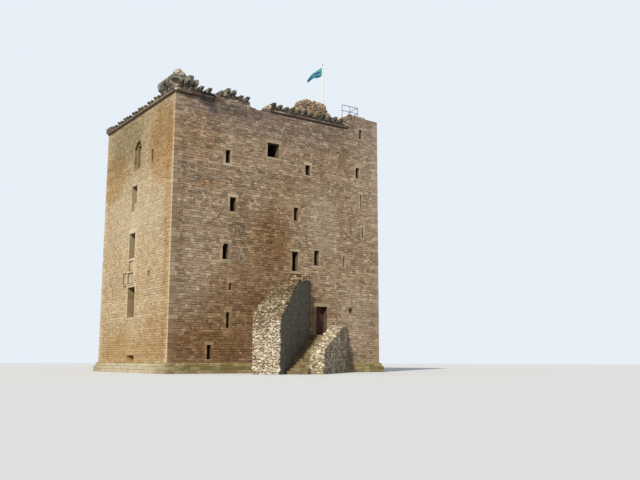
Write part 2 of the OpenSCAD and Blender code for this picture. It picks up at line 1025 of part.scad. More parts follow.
module flag_plan() {
    polygon(concat([for (i = [0 : flag_points]) flag_line(i) - [0, flag_t / 2]],
                   [for (i = [flag_points : -1 : 0]) flag_line(i) + [0, flag_t / 2]]));
}

module flag() {
    top = head_level + pole_h - finial_h - 110;
    low = top - 1500;
    color("teal")
        on_side(FRONT)
            translate([pole_u, pole_v, 0])
                rotate([0, 0, flag_turn])
                    intersection() {
                        translate([0, 0, low])
                            linear_extrude(top - low)
                                flag_plan();
                        translate([0, 500, 0])
                            rotate([90, 0, 0])
                                linear_extrude(1000)
                                    polygon([for (p = concat(flag_upper, flag_lower))
                                        [-flag_fly * p[0] - (p[0] > 0 ? pole_top_r + 8 : 0), top - p[1]]]);
                    }
}

plinth();
basement_floor();
front_wall_basement();
front_wall_hall_left();
front_wall_hall_right();
front_wall_over_door();
front_wall_second();
front_wall_third();
front_wall_fourth();
right_wall_lower();
right_wall_second();
right_wall_third();
right_wall_fourth();
back_wall_lower();
back_wall_second();
back_wall_third();
back_wall_fourth();
left_wall_lower();
left_wall_second();
left_wall_third();
left_wall_fourth();
stair_corner_lower();
stair_corner_upper();
hall_floor();
second_floor();
third_floor();
fourth_floor();
roof_deck();
front_corbels();
right_corbels();
back_corbels();
left_corbels();
parapet_remains();
chimney_remains();
curtain_stub();
entrance_steps();
stair_flank_wall();
door_leaf();
door_straps();
door_pintles();
window_surrounds();
armorial_panels();
guard_rail();
flagpole();
flag();
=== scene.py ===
# %% [markdown]
# # A ruined castle keep, dressed in stone
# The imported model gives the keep's structure: hollow walls with their windows, floors, corbels, the broken
# curtain wall and the stair. This lesson dresses it. The walls get their rubble stones one by one, the
# corners their quoins, the windows their margins, and every surface a weathered finish.

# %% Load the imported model
import itertools
import math
import random
from collections import namedtuple
import bpy
import bmesh
from mathutils import Matrix, Vector
from mathutils.bvhtree import BVHTree


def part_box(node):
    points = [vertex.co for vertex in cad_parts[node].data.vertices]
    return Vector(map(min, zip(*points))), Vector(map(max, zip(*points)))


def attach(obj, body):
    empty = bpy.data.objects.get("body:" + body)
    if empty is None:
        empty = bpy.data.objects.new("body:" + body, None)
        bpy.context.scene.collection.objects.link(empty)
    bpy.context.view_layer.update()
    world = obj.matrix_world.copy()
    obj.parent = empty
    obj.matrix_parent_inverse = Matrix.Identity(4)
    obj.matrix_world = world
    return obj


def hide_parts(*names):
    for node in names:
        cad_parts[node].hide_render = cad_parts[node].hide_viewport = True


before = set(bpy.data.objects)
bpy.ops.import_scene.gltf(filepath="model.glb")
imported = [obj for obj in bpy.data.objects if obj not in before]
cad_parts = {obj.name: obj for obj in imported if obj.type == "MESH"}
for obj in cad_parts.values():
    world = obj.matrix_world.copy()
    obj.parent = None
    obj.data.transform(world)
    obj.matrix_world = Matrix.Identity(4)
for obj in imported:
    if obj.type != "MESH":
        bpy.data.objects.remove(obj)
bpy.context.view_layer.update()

# %% [markdown]
# ## The frame's own sizes
# Every place in this script comes from the model: the corners of the walls, the top of the plinth and the
# foot of the moulded course are read from the nodes, so the stones always meet the structure. Each side is
# worked on in a frame of its own, x along the face from its left corner, y into the wall and z up, and
# what is made there is then turned into place. One set of helpers thus serves all four sides.

# %% Read the driving sizes
HALF_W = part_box("front_wall_basement")[1].x
HALF_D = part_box("back_wall_lower")[1].y
PLINTH_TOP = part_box("plinth")[1].z
WALL_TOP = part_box("back_corbels")[0].z
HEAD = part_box("roof_deck")[1].z
STAIR_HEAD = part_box("stair_corner_upper")

# Corner at the left end of each side, seen from outside, and the turn of its face
SIDES = {
    "front": ((-HALF_W, -HALF_D, 0), 0),
    "right": ((HALF_W, -HALF_D, 0), 90),
    "back": ((HALF_W, HALF_D, 0), 180),
    "left": ((-HALF_W, HALF_D, 0), 270),
}
ORDER = list(SIDES)
LENGTHS = {"front": 2 * HALF_W, "right": 2 * HALF_D, "back": 2 * HALF_W, "left": 2 * HALF_D}
print("plan", LENGTHS["front"], "by", LENGTHS["right"], "head at", round(HEAD, 3))


def turned(degrees, axis="Z"):
    return Matrix.Rotation(math.radians(degrees), 4, axis)


def side_matrix(side):
    """Takes a side's own frame, x along the face, y into the wall and z up, to the model's."""
    corner, turn = SIDES[side]
    return Matrix.Translation(corner) @ turned(turn)


def box_matrix(low, high):
    """The matrix that takes a unit cube to the box between two corners."""
    low, high = Vector(low), Vector(high)
    size = high - low
    return Matrix.Translation((low + high) / 2) @ Matrix.Diagonal((*size, 1))


# %% [markdown]
# ## Helpers for node trees
# A material could be put together by hand in the shader editor. Written out, each node takes three or four
# lines, so small helpers add a node, fill its inputs with values or links, and hand back its output. Colours
# are written as they look on a screen, and turned into the linear values that shaders use.

# %% Small helpers for node trees
FLOAT, COLOR, VECTOR = "NodeSocketFloat", "NodeSocketColor", "NodeSocketVector"


def srgb(red, green, blue):
    """A colour written as it looks, 0 to 255, turned into the linear values that shaders use."""
    parts = [value / 255 for value in (red, green, blue)]
    return tuple(p / 12.92 if p <= 0.04045 else ((p + 0.055) / 1.055) ** 2.4 for p in parts) + (1.0,)


def shades(*colors):
    return [srgb(*color) for color in colors]


def add_node(tree, kind, inputs=None, **settings):
    """Adds a node, sets its options, and fills each input with a value or a link."""
    node = tree.nodes.new(kind)
    for key, value in settings.items():
        setattr(node, key, value)
    for key, value in (inputs or {}).items():
        if isinstance(value, bpy.types.NodeSocket):
            tree.links.new(value, node.inputs[key])
        else:
            node.inputs[key].default_value = value
    return node


def math_node(tree, operation, *values, clamp=False):
    inputs = dict(enumerate(values))
    return add_node(tree, "ShaderNodeMath", inputs, operation=operation, use_clamp=clamp).outputs[0]


def vector_node(tree, operation, first, second):
    return add_node(tree, "ShaderNodeVectorMath", {0: first, 1: second}, operation=operation).outputs[0]


def grey_node(tree, value):
    """The same value in all three channels, to multiply a colour by."""
    return add_node(tree, "ShaderNodeCombineXYZ", {0: value, 1: value, 2: value}).outputs[0]


def noise_node(tree, vector, scale, detail=3.0, roughness=0.55):
    values = {"Vector": vector, "Scale": scale, "Detail": detail, "Roughness": roughness}
    return add_node(tree, "ShaderNodeTexNoise", values).outputs[0]


def range_node(tree, value, low, high, to_low=0.0, to_high=1.0):
    values = {"Value": value, "From Min": low, "From Max": high, "To Min": to_low, "To Max": to_high}
    return add_node(tree, "ShaderNodeMapRange", values, interpolation_type="SMOOTHSTEP").outputs[0]


def mix_node(tree, blend, factor, first, second):
    values = {0: factor, 6: first, 7: second}
    return add_node(tree, "ShaderNodeMix", values, data_type="RGBA", blend_type=blend).outputs[2]


def new_material(name):
    material = bpy.data.materials.new(name)
    material.use_nodes = True
    tree = material.node_tree
    return material, tree, tree.nodes["Principled BSDF"]


# %% [markdown]
# ## Stage, sun and camera
# A pale floor and a pale background that are only for the picture, one broad sun from the left, and the eye
# of someone who stands some way off the corner of the entrance front. A pale floor and a bright background
# would flood the shaded walls, so only the camera sees them pale: Light Path's Is Camera Ray picks that
# colour, and every other ray meets a calmer one. Glass and metal would show the background too.

# %% Sky and sun
SKY_LIGHT, SKY_STRENGTH, SKY_SEEN = (0.80, 0.88, 1.0, 1.0), 0.50, (0.80, 0.86, 0.93, 1.0)
SUN_TOWARDS = Vector((-0.80, -0.57, 0.62)).normalized()
SUN_COLOR, SUN_ENERGY, SUN_BREADTH = (1.0, 0.95, 0.87), 3.6, math.radians(2.5)

scene = bpy.context.scene
scene.view_settings.view_transform = "Standard"


def seen_directly(tree):
    """1 for rays that show a background as it is: from the camera, a mirror or through glass."""
    path = add_node(tree, "ShaderNodeLightPath").outputs
    total = path["Is Camera Ray"]
    for name in ("Is Glossy Ray", "Is Transmission Ray"):
        total = math_node(tree, "ADD", total, path[name], clamp=True)
    return total


def make_world():
    world = bpy.data.worlds.new("pale_sky")
    scene.world = world
    world.use_nodes = True
    tree = world.node_tree
    light = tree.nodes["Background"]
    light.inputs["Color"].default_value = SKY_LIGHT
    light.inputs["Strength"].default_value = SKY_STRENGTH
    seen = add_node(tree, "ShaderNodeBackground", {"Color": SKY_SEEN}).outputs[0]
    mix = add_node(tree, "ShaderNodeMixShader", {0: seen_directly(tree), 1: light.outputs[0], 2: seen})
    tree.links.new(mix.outputs[0], tree.nodes["World Output"].inputs["Surface"])


def make_sun():
    data = bpy.data.lights.new("sun", "SUN")
    data.energy, data.angle, data.color = SUN_ENERGY, SUN_BREADTH, SUN_COLOR
    sun = bpy.data.objects.new("sun", data)
    sun.rotation_euler = SUN_TOWARDS.to_track_quat("Z", "Y").to_euler()
    scene.collection.objects.link(sun)
    return sun


# %% Camera and floor
CAMERA_AT = Vector((-31.497, -56.208, 0.967))
CAMERA_YAW, CAMERA_PITCH, CAMERA_ROLL = -35.293, 98.970, 0.142
LENS, SENSOR_WIDTH, CLIP_END = 42.78, 36.0, 500.0
FLOOR_LIGHT, FLOOR_SEEN, FLOOR_RADIUS = (0.30, 0.29, 0.26, 1.0), (0.74, 0.74, 0.72, 1.0), 160.0


def make_camera():
    data = bpy.data.cameras.new("camera")
    data.lens, data.sensor_width, data.sensor_fit = LENS, SENSOR_WIDTH, "HORIZONTAL"
    data.clip_end = CLIP_END
    camera = bpy.data.objects.new("camera", data)
    turn = turned(CAMERA_YAW) @ turned(CAMERA_PITCH, "X") @ turned(CAMERA_ROLL)
    camera.matrix_world = Matrix.Translation(CAMERA_AT) @ turn
    scene.collection.objects.link(camera)
    scene.camera = camera
    return camera


def make_ground():
    bm = bmesh.new()
    bmesh.ops.create_circle(bm, cap_ends=True, segments=96, radius=FLOOR_RADIUS)
    mesh = bpy.data.meshes.new("stage_ground")
    bm.to_mesh(mesh)
    bm.free()
    material, tree, shader = new_material("stage_ground")
    shader.inputs["Roughness"].default_value = 1.0
    shader.inputs["Specular IOR Level"].default_value = 0.0
    color = mix_node(tree, "MIX", seen_directly(tree), FLOOR_LIGHT, FLOOR_SEEN)
    tree.links.new(color, shader.inputs["Base Color"])
    mesh.materials.append(material)
    ground = bpy.data.objects.new("stage_ground", mesh)
    scene.collection.objects.link(ground)
    return ground


make_world()
make_sun()
make_camera()
make_ground()
print("camera", round(CAMERA_AT.length, 1), "m off, lens", LENS)

# %% [markdown]
# ## From a bmesh to a piece
# Every piece is shaped in a bmesh, Blender's own mesh for editing, because its operators need no view or
# selection and take exact numbers. When it is done, the mesh gets an object, a finish and the body that it
# moves with.

# %% Helpers that turn a bmesh into a finished piece
def piece_from(bm, name, materials, body="keep"):
    """Makes a named object from a bmesh, gives it its finish and lets it ride on a body."""
    mesh = bpy.data.meshes.new(name)
    bm.to_mesh(mesh)
    bm.free()
    obj = bpy.data.objects.new(name, mesh)
    scene.collection.objects.link(obj)
    for material in materials:
        mesh.materials.append(material)
    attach(obj, body)
    print(name, len(mesh.polygons), "faces")
    return obj


def add_to(total, bm):
    """Moves what a small bmesh holds into the piece it belongs to."""
    scratch = bpy.data.meshes.new("scratch")
    bm.to_mesh(scratch)
    bm.free()
    total.from_mesh(scratch)
    bpy.data.meshes.remove(scratch)


def finish_nodes(material, *names):
    """Gives CAD nodes a better material; their meshes stay as they are."""
    for name in names:
        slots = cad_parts[name].data.materials
        for index in range(len(slots)):
            slots[index] = material


# %% [markdown]
# ## Where the openings are
# The model's walls already have their windows. Their places could be written down once more, but two lists
# soon differ, so the outlines are read back from the outer faces of the wall meshes: an edge with a face of
# the wall's plane on one side only bounds an opening, or the node.

# %% Helpers that read a node's mesh
FLAT, MERGED = 0.002, 0.0005


def side_nodes(side):
    names = [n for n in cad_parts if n.startswith(side + "_wall")]
    return names + [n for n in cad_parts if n.startswith("stair_corner") and side in ("front", "right")]


def local_bmesh(node, matrix):
    """A merged copy of a node's mesh in a side's own frame."""
    bm = bmesh.new()
    bm.from_mesh(bpy.data.objects[node].data)
    bmesh.ops.remove_doubles(bm, verts=bm.verts, dist=MERGED)
    bm.transform(matrix.inverted())
    bm.normal_update()
    return bm


def edge_loops(edges):
    """Groups edges that share a vertex, in the mesh's own order, so that every run finds the same order."""
    left = dict.fromkeys(edges)
    while left:
        group, front = [], [left.popitem()[0]]
        while front:
            edge = front.pop()
            group.append(edge)
            near = [e for v in edge.verts for e in v.link_edges if e in left]
            for other in near:
                left.pop(other, None)
            front.extend(near)
        yield group


def extent(verts):
    """Lowest and highest corner of some vertices."""
    ways = [[v.co[axis] for v in verts] for axis in range(3)]
    return Vector([min(way) for way in ways]), Vector([max(way) for way in ways])


# %% Read the openings from the walls
Opening = namedtuple("Opening", "u0 z0 u1 z1 corners")


def wall_openings(side):
    """Outlines of the openings in a side's outer face."""
    found = []
    for node in side_nodes(side):
        bm = local_bmesh(node, side_matrix(side))
        outer = {f for f in bm.faces if f.normal.y < -0.99 and abs(f.calc_center_median().y) < FLAT}
        rim = [e for e in bm.edges if sum(f in outer for f in e.link_faces) == 1]
        node_low, node_high = extent(bm.verts)
        for group in edge_loops(rim):
            corners = {v for e in group for v in e.verts}
            low, high = extent(corners)
            before, after = low - node_low, node_high - high
            if min(before.x, before.z, after.x, after.z) > FLAT:
                found.append(Opening(low.x, low.z, high.x, high.z, len(corners)))
        bm.free()
    return found


openings = {side: wall_openings(side) for side in ORDER}
print({side: len(found) for side, found in openings.items()}, "openings")

# %% [markdown]
# ## Materials: shared shader groups
# Weathered stone is one look used in many places, so its parts are node groups: the grain of a sawn or
# split sandstone, soft patches where water or smoke has changed a wall's colour, lichen, and the streaks
# that rain leaves. Each is built once and placed in a material with that material's own values.

# %% Make and use a group
def new_group(name, inputs, outputs):
    """A shader group with named sockets: (name, type, value) in, (name, type) out."""
    group = bpy.data.node_groups.new(name, "ShaderNodeTree")
    for label, kind, value in inputs:
        socket = group.interface.new_socket(label, in_out="INPUT", socket_type=kind)
        socket.default_value = value
    for label, kind in outputs:
        group.interface.new_socket(label, in_out="OUTPUT", socket_type=kind)
    return group, group.nodes.new("NodeGroupInput").outputs, group.nodes.new("NodeGroupOutput").inputs


def use_group(tree, group, inputs):
    return add_node(tree, "ShaderNodeGroup", inputs, node_tree=group).outputs


# %% Grain of sandstone
def make_grain():
    """Blotches, fine grain, bedding lines and pits, over any base colour."""
    inputs = [("Vector", VECTOR, (0, 0, 0)), ("Color", COLOR, (0.5, 0.5, 0.5, 1)), ("Blotch", FLOAT, 0.35),
              ("Pits", FLOAT, 0.5)]
    outputs = [("Color", COLOR), ("Roughness", FLOAT), ("Height", FLOAT)]
    group, given, result = new_group("sandstone_grain", inputs, outputs)
    place = given["Vector"]
    blotch = noise_node(group, place, scale=3.1, detail=4.0)
    grain = noise_node(group, place, scale=26.0, detail=5.0, roughness=0.65)
    squashed = vector_node(group, "MULTIPLY", place, (2.0, 2.0, 34.0))
    bedding = noise_node(group, squashed, scale=1.0)
    cells = add_node(group, "ShaderNodeTexVoronoi", {"Vector": place, "Scale": 19.0}).outputs["Distance"]
    pits = math_node(group, "MULTIPLY", range_node(group, cells, 0.26, 0.10), given["Pits"])

    spread = math_node(group, "MULTIPLY", math_node(group, "SUBTRACT", blotch, 0.5), given["Blotch"])
    fine = math_node(group, "MULTIPLY_ADD", math_node(group, "SUBTRACT", grain, 0.5), 0.42, spread)
    lines = math_node(group, "MULTIPLY_ADD", math_node(group, "SUBTRACT", bedding, 0.5), 0.22, fine)
    shade = math_node(group, "ADD", math_node(group, "MULTIPLY", lines, 2.0), 1.0)
    shade = math_node(group, "MULTIPLY", shade, math_node(group, "MULTIPLY_ADD", pits, -0.5, 1.0))
    color = mix_node(group, "MULTIPLY", 1.0, given["Color"], grey_node(group, shade))
    height = math_node(group, "MULTIPLY_ADD", grain, 0.5, math_node(group, "MULTIPLY", blotch, 0.8))
    height = math_node(group, "MULTIPLY_ADD", bedding, 0.3, height)
    group.links.new(color, result["Color"])
    group.links.new(range_node(group, grain, 0.2, 0.8, 0.78, 0.97), result["Roughness"])
    group.links.new(math_node(group, "SUBTRACT", height, pits), result["Height"])
    return group


# %% Patches, lichen and rain streaks
def make_patch():
    """1 inside an ellipsoid with a ragged edge, 0 outside it."""
    inputs = [("Vector", VECTOR, (0, 0, 0)), ("Centre", VECTOR, (0, 0, 0)), ("Size", VECTOR, (1, 1, 1)),
              ("Wobble", FLOAT, 1.2), ("Soft", FLOAT, 0.65)]
    group, given, result = new_group("soft_patch", inputs, [("Mask", FLOAT)])
    values = {"Vector": given["Vector"], "Scale": 0.55, "Detail": 4.0, "Roughness": 0.55}
    drift = add_node(group, "ShaderNodeTexNoise", values).outputs["Color"]
    drift = {0: vector_node(group, "SUBTRACT", drift, (0.5, 0.5, 0.5)), 3: given["Wobble"]}
    drift = add_node(group, "ShaderNodeVectorMath", drift, operation="SCALE").outputs[0]
    place = vector_node(group, "ADD", given["Vector"], drift)
    place = vector_node(group, "SUBTRACT", place, given["Centre"])
    place = vector_node(group, "DIVIDE", place, given["Size"])
    reach = add_node(group, "ShaderNodeVectorMath", {0: place}, operation="LENGTH").outputs["Value"]
    inner = math_node(group, "SUBTRACT", 1.1, given["Soft"])
    group.links.new(range_node(group, reach, 1.1, inner), result["Mask"])
    return group


def make_lichen():
    inputs = [("Vector", VECTOR, (0, 0, 0)), ("Amount", FLOAT, 0.3), ("Scale", FLOAT, 2.5)]
    group, given, result = new_group("lichen_spots", inputs, [("Mask", FLOAT)])
    broad = noise_node(group, given["Vector"], given["Scale"])
    fine_scale = math_node(group, "MULTIPLY", given["Scale"], 6.0)
    fine = noise_node(group, given["Vector"], fine_scale, detail=4.0, roughness=0.7)
    level = math_node(group, "MULTIPLY_ADD", fine, 0.6, math_node(group, "MULTIPLY", broad, 0.8))
    edge = math_node(group, "MULTIPLY_ADD", given["Amount"], -0.6, 0.98)
    mask = range_node(group, level, edge, math_node(group, "ADD", edge, 0.07))
    group.links.new(mask, result["Mask"])
    return group


def make_streaks():
    inputs = [("Vector", VECTOR, (0, 0, 0)), ("Amount", FLOAT, 0.5)]
    group, given, result = new_group("rain_streaks", inputs, [("Mask", FLOAT)])
    tall = vector_node(group, "MULTIPLY", given["Vector"], (2.4, 2.4, 0.22))
    wide = noise_node(group, tall, scale=1.0, detail=5.0, roughness=0.6)
    mask = math_node(group, "MULTIPLY", range_node(group, wide, 0.45, 0.68), given["Amount"])
    group.links.new(mask, result["Mask"])
    return group


GRAIN = make_grain()
PATCH = make_patch()
LICHEN = make_lichen()
STREAKS = make_streaks()
print(len(bpy.data.node_groups), "shader groups")

# %% [markdown]
# ## How a stone finish is put together
# Each stone of a wall carries its own tint, two random numbers kept on its vertices. The first picks the
# stone's colour from a ramp of the quarry's beds, the second lightens or darkens it. Broad patches then
# colour whole stretches of the wall, as damp, smoke and a century of lichen do. A painted image could hold
# all that, but it would blur close up and repeat, while nodes stay sharp at any distance.

# %% Layers of a stone finish
def bump_into(tree, shader, height, strength, distance):
    values = {"Height": height, "Strength": strength, "Distance": distance}
    tree.links.new(add_node(tree, "ShaderNodeBump", values).outputs[0], shader.inputs["Normal"])


def palette_ramp(tree, factor, colors, interpolation="CONSTANT"):
    ramp = add_node(tree, "ShaderNodeValToRGB", {"Fac": factor})
    ramp.color_ramp.interpolation = interpolation
    elements = ramp.color_ramp.elements
    elements[0].position, elements[0].color = 0.0, colors[0]
    elements[1].position, elements[1].color = 1.0 / len(colors), colors[1]
    for index, color in enumerate(colors[2:], 2):
        elements.new(index / len(colors)).color = color
    return ramp.outputs[0]


def tint_parts(tree):
    """The random numbers that each block carries, one by one."""
    tint = add_node(tree, "ShaderNodeAttribute", attribute_name="tint").outputs["Color"]
    return add_node(tree, "ShaderNodeSeparateColor", {0: tint}).outputs


def stone_by_stone(tree, palette, spread):
    """Each stone in the colour of its bed, a little lighter or darker than the next."""
    tint = tint_parts(tree)
    value = math_node(tree, "MULTIPLY_ADD", tint[1], spread, 1.0 - spread / 2)
    return mix_node(tree, "MULTIPLY", 1.0, palette_ramp(tree, tint[0], palette), grey_node(tree, value))


def stained(tree, place, color, patches, lichen, streak):
    """Patches, lichen and rain streaks, laid one over the other."""
    for centre, size, (blend, patch_color), strength, *edge in patches:
        soft, wobble = edge or (0.65, 1.2)
        values = {"Vector": place, "Centre": centre, "Size": size, "Soft": soft, "Wobble": wobble}
        mask = math_node(tree, "MULTIPLY", use_group(tree, PATCH, values)[0], strength)
        color = mix_node(tree, blend, mask, color, patch_color)
    for spot_color, amount, scale, strength in lichen:
        mask = use_group(tree, LICHEN, {"Vector": place, "Amount": amount, "Scale": scale})[0]
        color = mix_node(tree, "MIX", math_node(tree, "MULTIPLY", mask, strength), color, spot_color)
    if streak:
        mask = use_group(tree, STREAKS, {"Vector": place, "Amount": streak[1]})[0]
        color = mix_node(tree, "MULTIPLY", mask, color, streak[0])
    return color


def painted_shade_and_soot_inside(tree, place, color, dim):
    """Painted shade and soot: multiplies the colour behind the outer faces, in window reveals and rooms."""
    ways = add_node(tree, "ShaderNodeSeparateXYZ", {0: place}).outputs
    depths = [math_node(tree, "SUBTRACT", half, math_node(tree, "ABSOLUTE", way))
              for half, way in zip((HALF_W, HALF_D), ways)]
    mask = range_node(tree, math_node(tree, "MINIMUM", *depths), 0.3, 0.9)
    return mix_node(tree, "MULTIPLY", mask, color, dim)


def faced(tree, color, direction, face_color, strength):
    """Another colour on the faces that look one way."""
    normal = add_node(tree, "ShaderNodeNewGeometry").outputs["Normal"]
    values = {0: normal, 1: direction}
    along = add_node(tree, "ShaderNodeVectorMath", values, operation="DOT_PRODUCT").outputs["Value"]
    mask = math_node(tree, "MULTIPLY", range_node(tree, along, 0.3, 0.85), strength)
    return mix_node(tree, "MIX", mask, color, face_color)


# %% Build a stone finish
def stone_material(name, palette, patches=(), lichen=(), streak=None, tinted=True, spread=0.3, blotch=0.25,
                   bump=0.012, facing=(), below=None, inside=None):
    """A stone finish. patches: (centre, size, (blend, colour), strength, and maybe softness and wobble of
    the edge); lichen: (colour, amount, scale, strength); streak: (colour, amount). spread: how far one
    stone's value lies from the next one's; facing: (direction, colour, strength) for faces that look that
    way; below: (height, colour) for what lies under a level; inside: see painted_shade_and_soot_inside."""
    material, tree, shader = new_material(name)
    place = add_node(tree, "ShaderNodeTexCoord").outputs["Object"]
    if tinted:
        color = stone_by_stone(tree, palette, spread)
    else:
        broad = range_node(tree, noise_node(tree, place, scale=1.3), 0.3, 0.7)
        color = palette_ramp(tree, broad, palette, "LINEAR")
    color = stained(tree, place, color, patches, lichen, streak)
    if inside:
        color = painted_shade_and_soot_inside(tree, place, color, inside)
    if below:
        level, low_color = below
        height = add_node(tree, "ShaderNodeSeparateXYZ", {0: place}).outputs[2]
        color = mix_node(tree, "MIX", range_node(tree, height, level + 0.01, level - 0.01), color, low_color)
    for direction, face_color, strength in facing:
        color = faced(tree, color, direction, face_color, strength)
    grain = use_group(tree, GRAIN, {"Vector": place, "Color": color, "Blotch": blotch})
    tree.links.new(grain["Color"], shader.inputs["Base Color"])
    tree.links.new(grain["Roughness"], shader.inputs["Roughness"])
    shader.inputs["Specular IOR Level"].default_value = 0.25
    bump_into(tree, shader, grain["Height"], 0.6, bump)
    return material


# %% [markdown]
# ## Finishes
# The left side is a pale ochre, the front browner, with red-brown and grey stretches. The left side's paler
# colours are partly its own tone and partly painted light, for the stronger sun on that side. The broken
# wall's core is pale lime and river stones. The head of the walls, where rain stands, has gone nearly black
# with lichen.
# The walls' own meshes stay behind the rubble as the mortar of its joints and as the faces of the rooms;
# deeper in from the outer faces they are darkened with painted shade and soot.

# %% Colours of the quarry's beds
FRONT_STONES = shades((165, 141, 115), (177, 155, 128), (154, 129, 104), (166, 146, 122), (160, 133, 106),
                      (140, 120, 100), (186, 166, 139), (160, 138, 113))
# The left side's colours are paler than the front's, partly as painted light for the sun on that side
LEFT_STONES_AND_PAINTED_LIGHT = shades((194, 171, 135), (200, 179, 144), (188, 163, 126), (196, 175, 141), (184, 160, 122),
                     (202, 183, 150))
DRESSED_STONES = shades((172, 153, 126), (182, 165, 138), (162, 143, 115), (176, 157, 129))
LEFT_DRESSED_AND_PAINTED_LIGHT = shades((198, 176, 142), (204, 184, 151), (192, 169, 134))
CORE_STONES = shades((184, 170, 142), (204, 191, 166), (156, 138, 110), (222, 212, 190), (136, 121, 97),
                     (172, 152, 120))
# Painted shade: the stair face's stones, much darker than the same stone on the other faces
STAIR_FACE_PAINTED_SHADE = shades((113, 109, 96), (99, 98, 90), (122, 115, 99))
CORBEL_STONES = shades((124, 118, 105), (156, 148, 131), (98, 95, 86))
LUMP_STONES = shades((192, 179, 155), (176, 161, 137), (202, 191, 169), (164, 147, 122))
CHIMNEY_STONES = shades((158, 136, 114), (138, 119, 99), (176, 158, 136), (128, 115, 101), (158, 130, 96))
PLINTH_STONES = shades((144, 130, 88), (162, 148, 104), (132, 117, 78))
STEP_STONES = shades((127, 111, 79), (143, 126, 93), (115, 100, 72))
PAVING_STONES = shades((132, 124, 108), (146, 136, 116), (118, 110, 96))
MORTAR = shades((84, 72, 56), (110, 95, 75))
LEFT_MORTAR_AND_PAINTED_LIGHT = shades((142, 120, 86), (162, 140, 104))
CORE_MORTAR = shades((70, 60, 45), (104, 90, 68))
CHIMNEY_MORTAR = shades((92, 72, 48), (122, 98, 66))
STEP_EARTH = shades((112, 98, 72), (134, 118, 90))
PANEL_FRAME = shades((200, 182, 150), (212, 196, 166))
PANEL_FIELD = shades((176, 156, 122), (190, 170, 136))
# The recess colour is painted shade in the hollow of each frame
PANEL_RECESS_PAINTED_SHADE = shades((92, 80, 62), (110, 96, 74))


# %% Stains, lichen and rain
def darker(red, green, blue):
    """A stain that is multiplied in, so that it darkens a stretch of wall and keeps its stones apart."""
    return ("MULTIPLY", (red, green, blue, 1))


def film(red, green, blue):
    """A stain that lays its own colour over the stones, as lime does."""
    return ("MIX", srgb(red, green, blue))


WARM, DAMP, GREY_VEIL = darker(0.74, 0.62, 0.48), darker(0.66, 0.64, 0.58), darker(0.66, 0.70, 0.76)
OLD_WORK, RUSTY, COOL = darker(0.76, 0.75, 0.71), darker(1.0, 0.80, 0.62), darker(0.82, 0.84, 0.95)
OCHRE, RUST_STONE, GREEN_GREY = darker(0.78, 0.62, 0.40), darker(0.84, 0.66, 0.43), darker(0.50, 0.55, 0.52)
# The three rims are painted shade on the course just under the corbels
BLACK_RIM_PAINTED_SHADE, GREY_RIM_PAINTED_SHADE, BROWN_RIM_PAINTED_SHADE = darker(0.36, 0.34, 0.36), darker(0.58, 0.57, 0.60), darker(0.52, 0.48, 0.45)
CORBEL_SHADE, CORBEL_BROWN = darker(0.42, 0.42, 0.40), darker(0.60, 0.55, 0.50)
CORE_BROWN, CORE_GREY, SLATE = darker(0.50, 0.43, 0.34), darker(0.72, 0.69, 0.65), darker(0.45, 0.52, 0.66)
LIME, PALE, STAIN, CORE_LIME = film(214, 202, 176), film(206, 198, 184), film(84, 78, 74), film(232, 223, 202)

# Lichen: colour, amount, scale and strength. Rain: colour and amount
PALE_LICHEN, DARK_LICHEN = (srgb(196, 190, 168), 0.22, 1.7, 0.30), (srgb(78, 74, 62), 0.20, 2.9, 0.35)
PLINTH_LICHEN, BLOCK_LICHEN = (srgb(206, 200, 172), 0.35, 2.0, 0.5), (srgb(206, 200, 172), 0.30, 2.0, 0.5)
CORBEL_LICHEN, CHIMNEY_LICHEN = (srgb(66, 67, 59), 0.36, 2.4, 0.65), (srgb(74, 64, 48), 0.32, 2.6, 0.7)
SPOTS = [PALE_LICHEN, DARK_LICHEN]
RAIN, LEFT_RAIN = ((0.70, 0.66, 0.60, 1), 0.30), ((0.72, 0.68, 0.62, 1), 0.35)
STAIR_FACE_RAIN = ((0.60, 0.62, 0.62, 1), 0.8)
# Painted shade and soot in window reveals and rooms
ROOM_PAINTED_SHADE_AND_SOOT = (0.5, 0.48, 0.44, 1)
# The last two are painted shade: the moulded course under the corbels, and the stair side of the broken
# wall's core
CORBEL_UPPER, CORBEL_UNDERSIDE_PAINTED_SHADE, CORE_PAINTED_SHADE = shades((62, 64, 50), (92, 80, 70), (58, 58, 54))

# %% [markdown]
# ## Where the walls are stained
# Damp has run down below some sills, the wall head has darkened, and lime has washed out over stretches of
# the walls. The course just under the corbels is darkened further with painted shade. Noise alone would
# spread such stains evenly, so each has its own place: an ellipsoid round a point of the wall, with a
# strength, and where needed the softness and wobble of its edge. Its depth through the wall lets the same
# patch colour the stones and the mortar behind them.

# %% Patches on the front
def on_front(u, z, wide, tall, stain, strength, *edge, deep=1.5):
    """A patch on the front, u along it from its left corner; wide and tall are half sizes."""
    return ((u - HALF_W, -HALF_D, z), (wide, deep, tall), stain, strength, *edge)


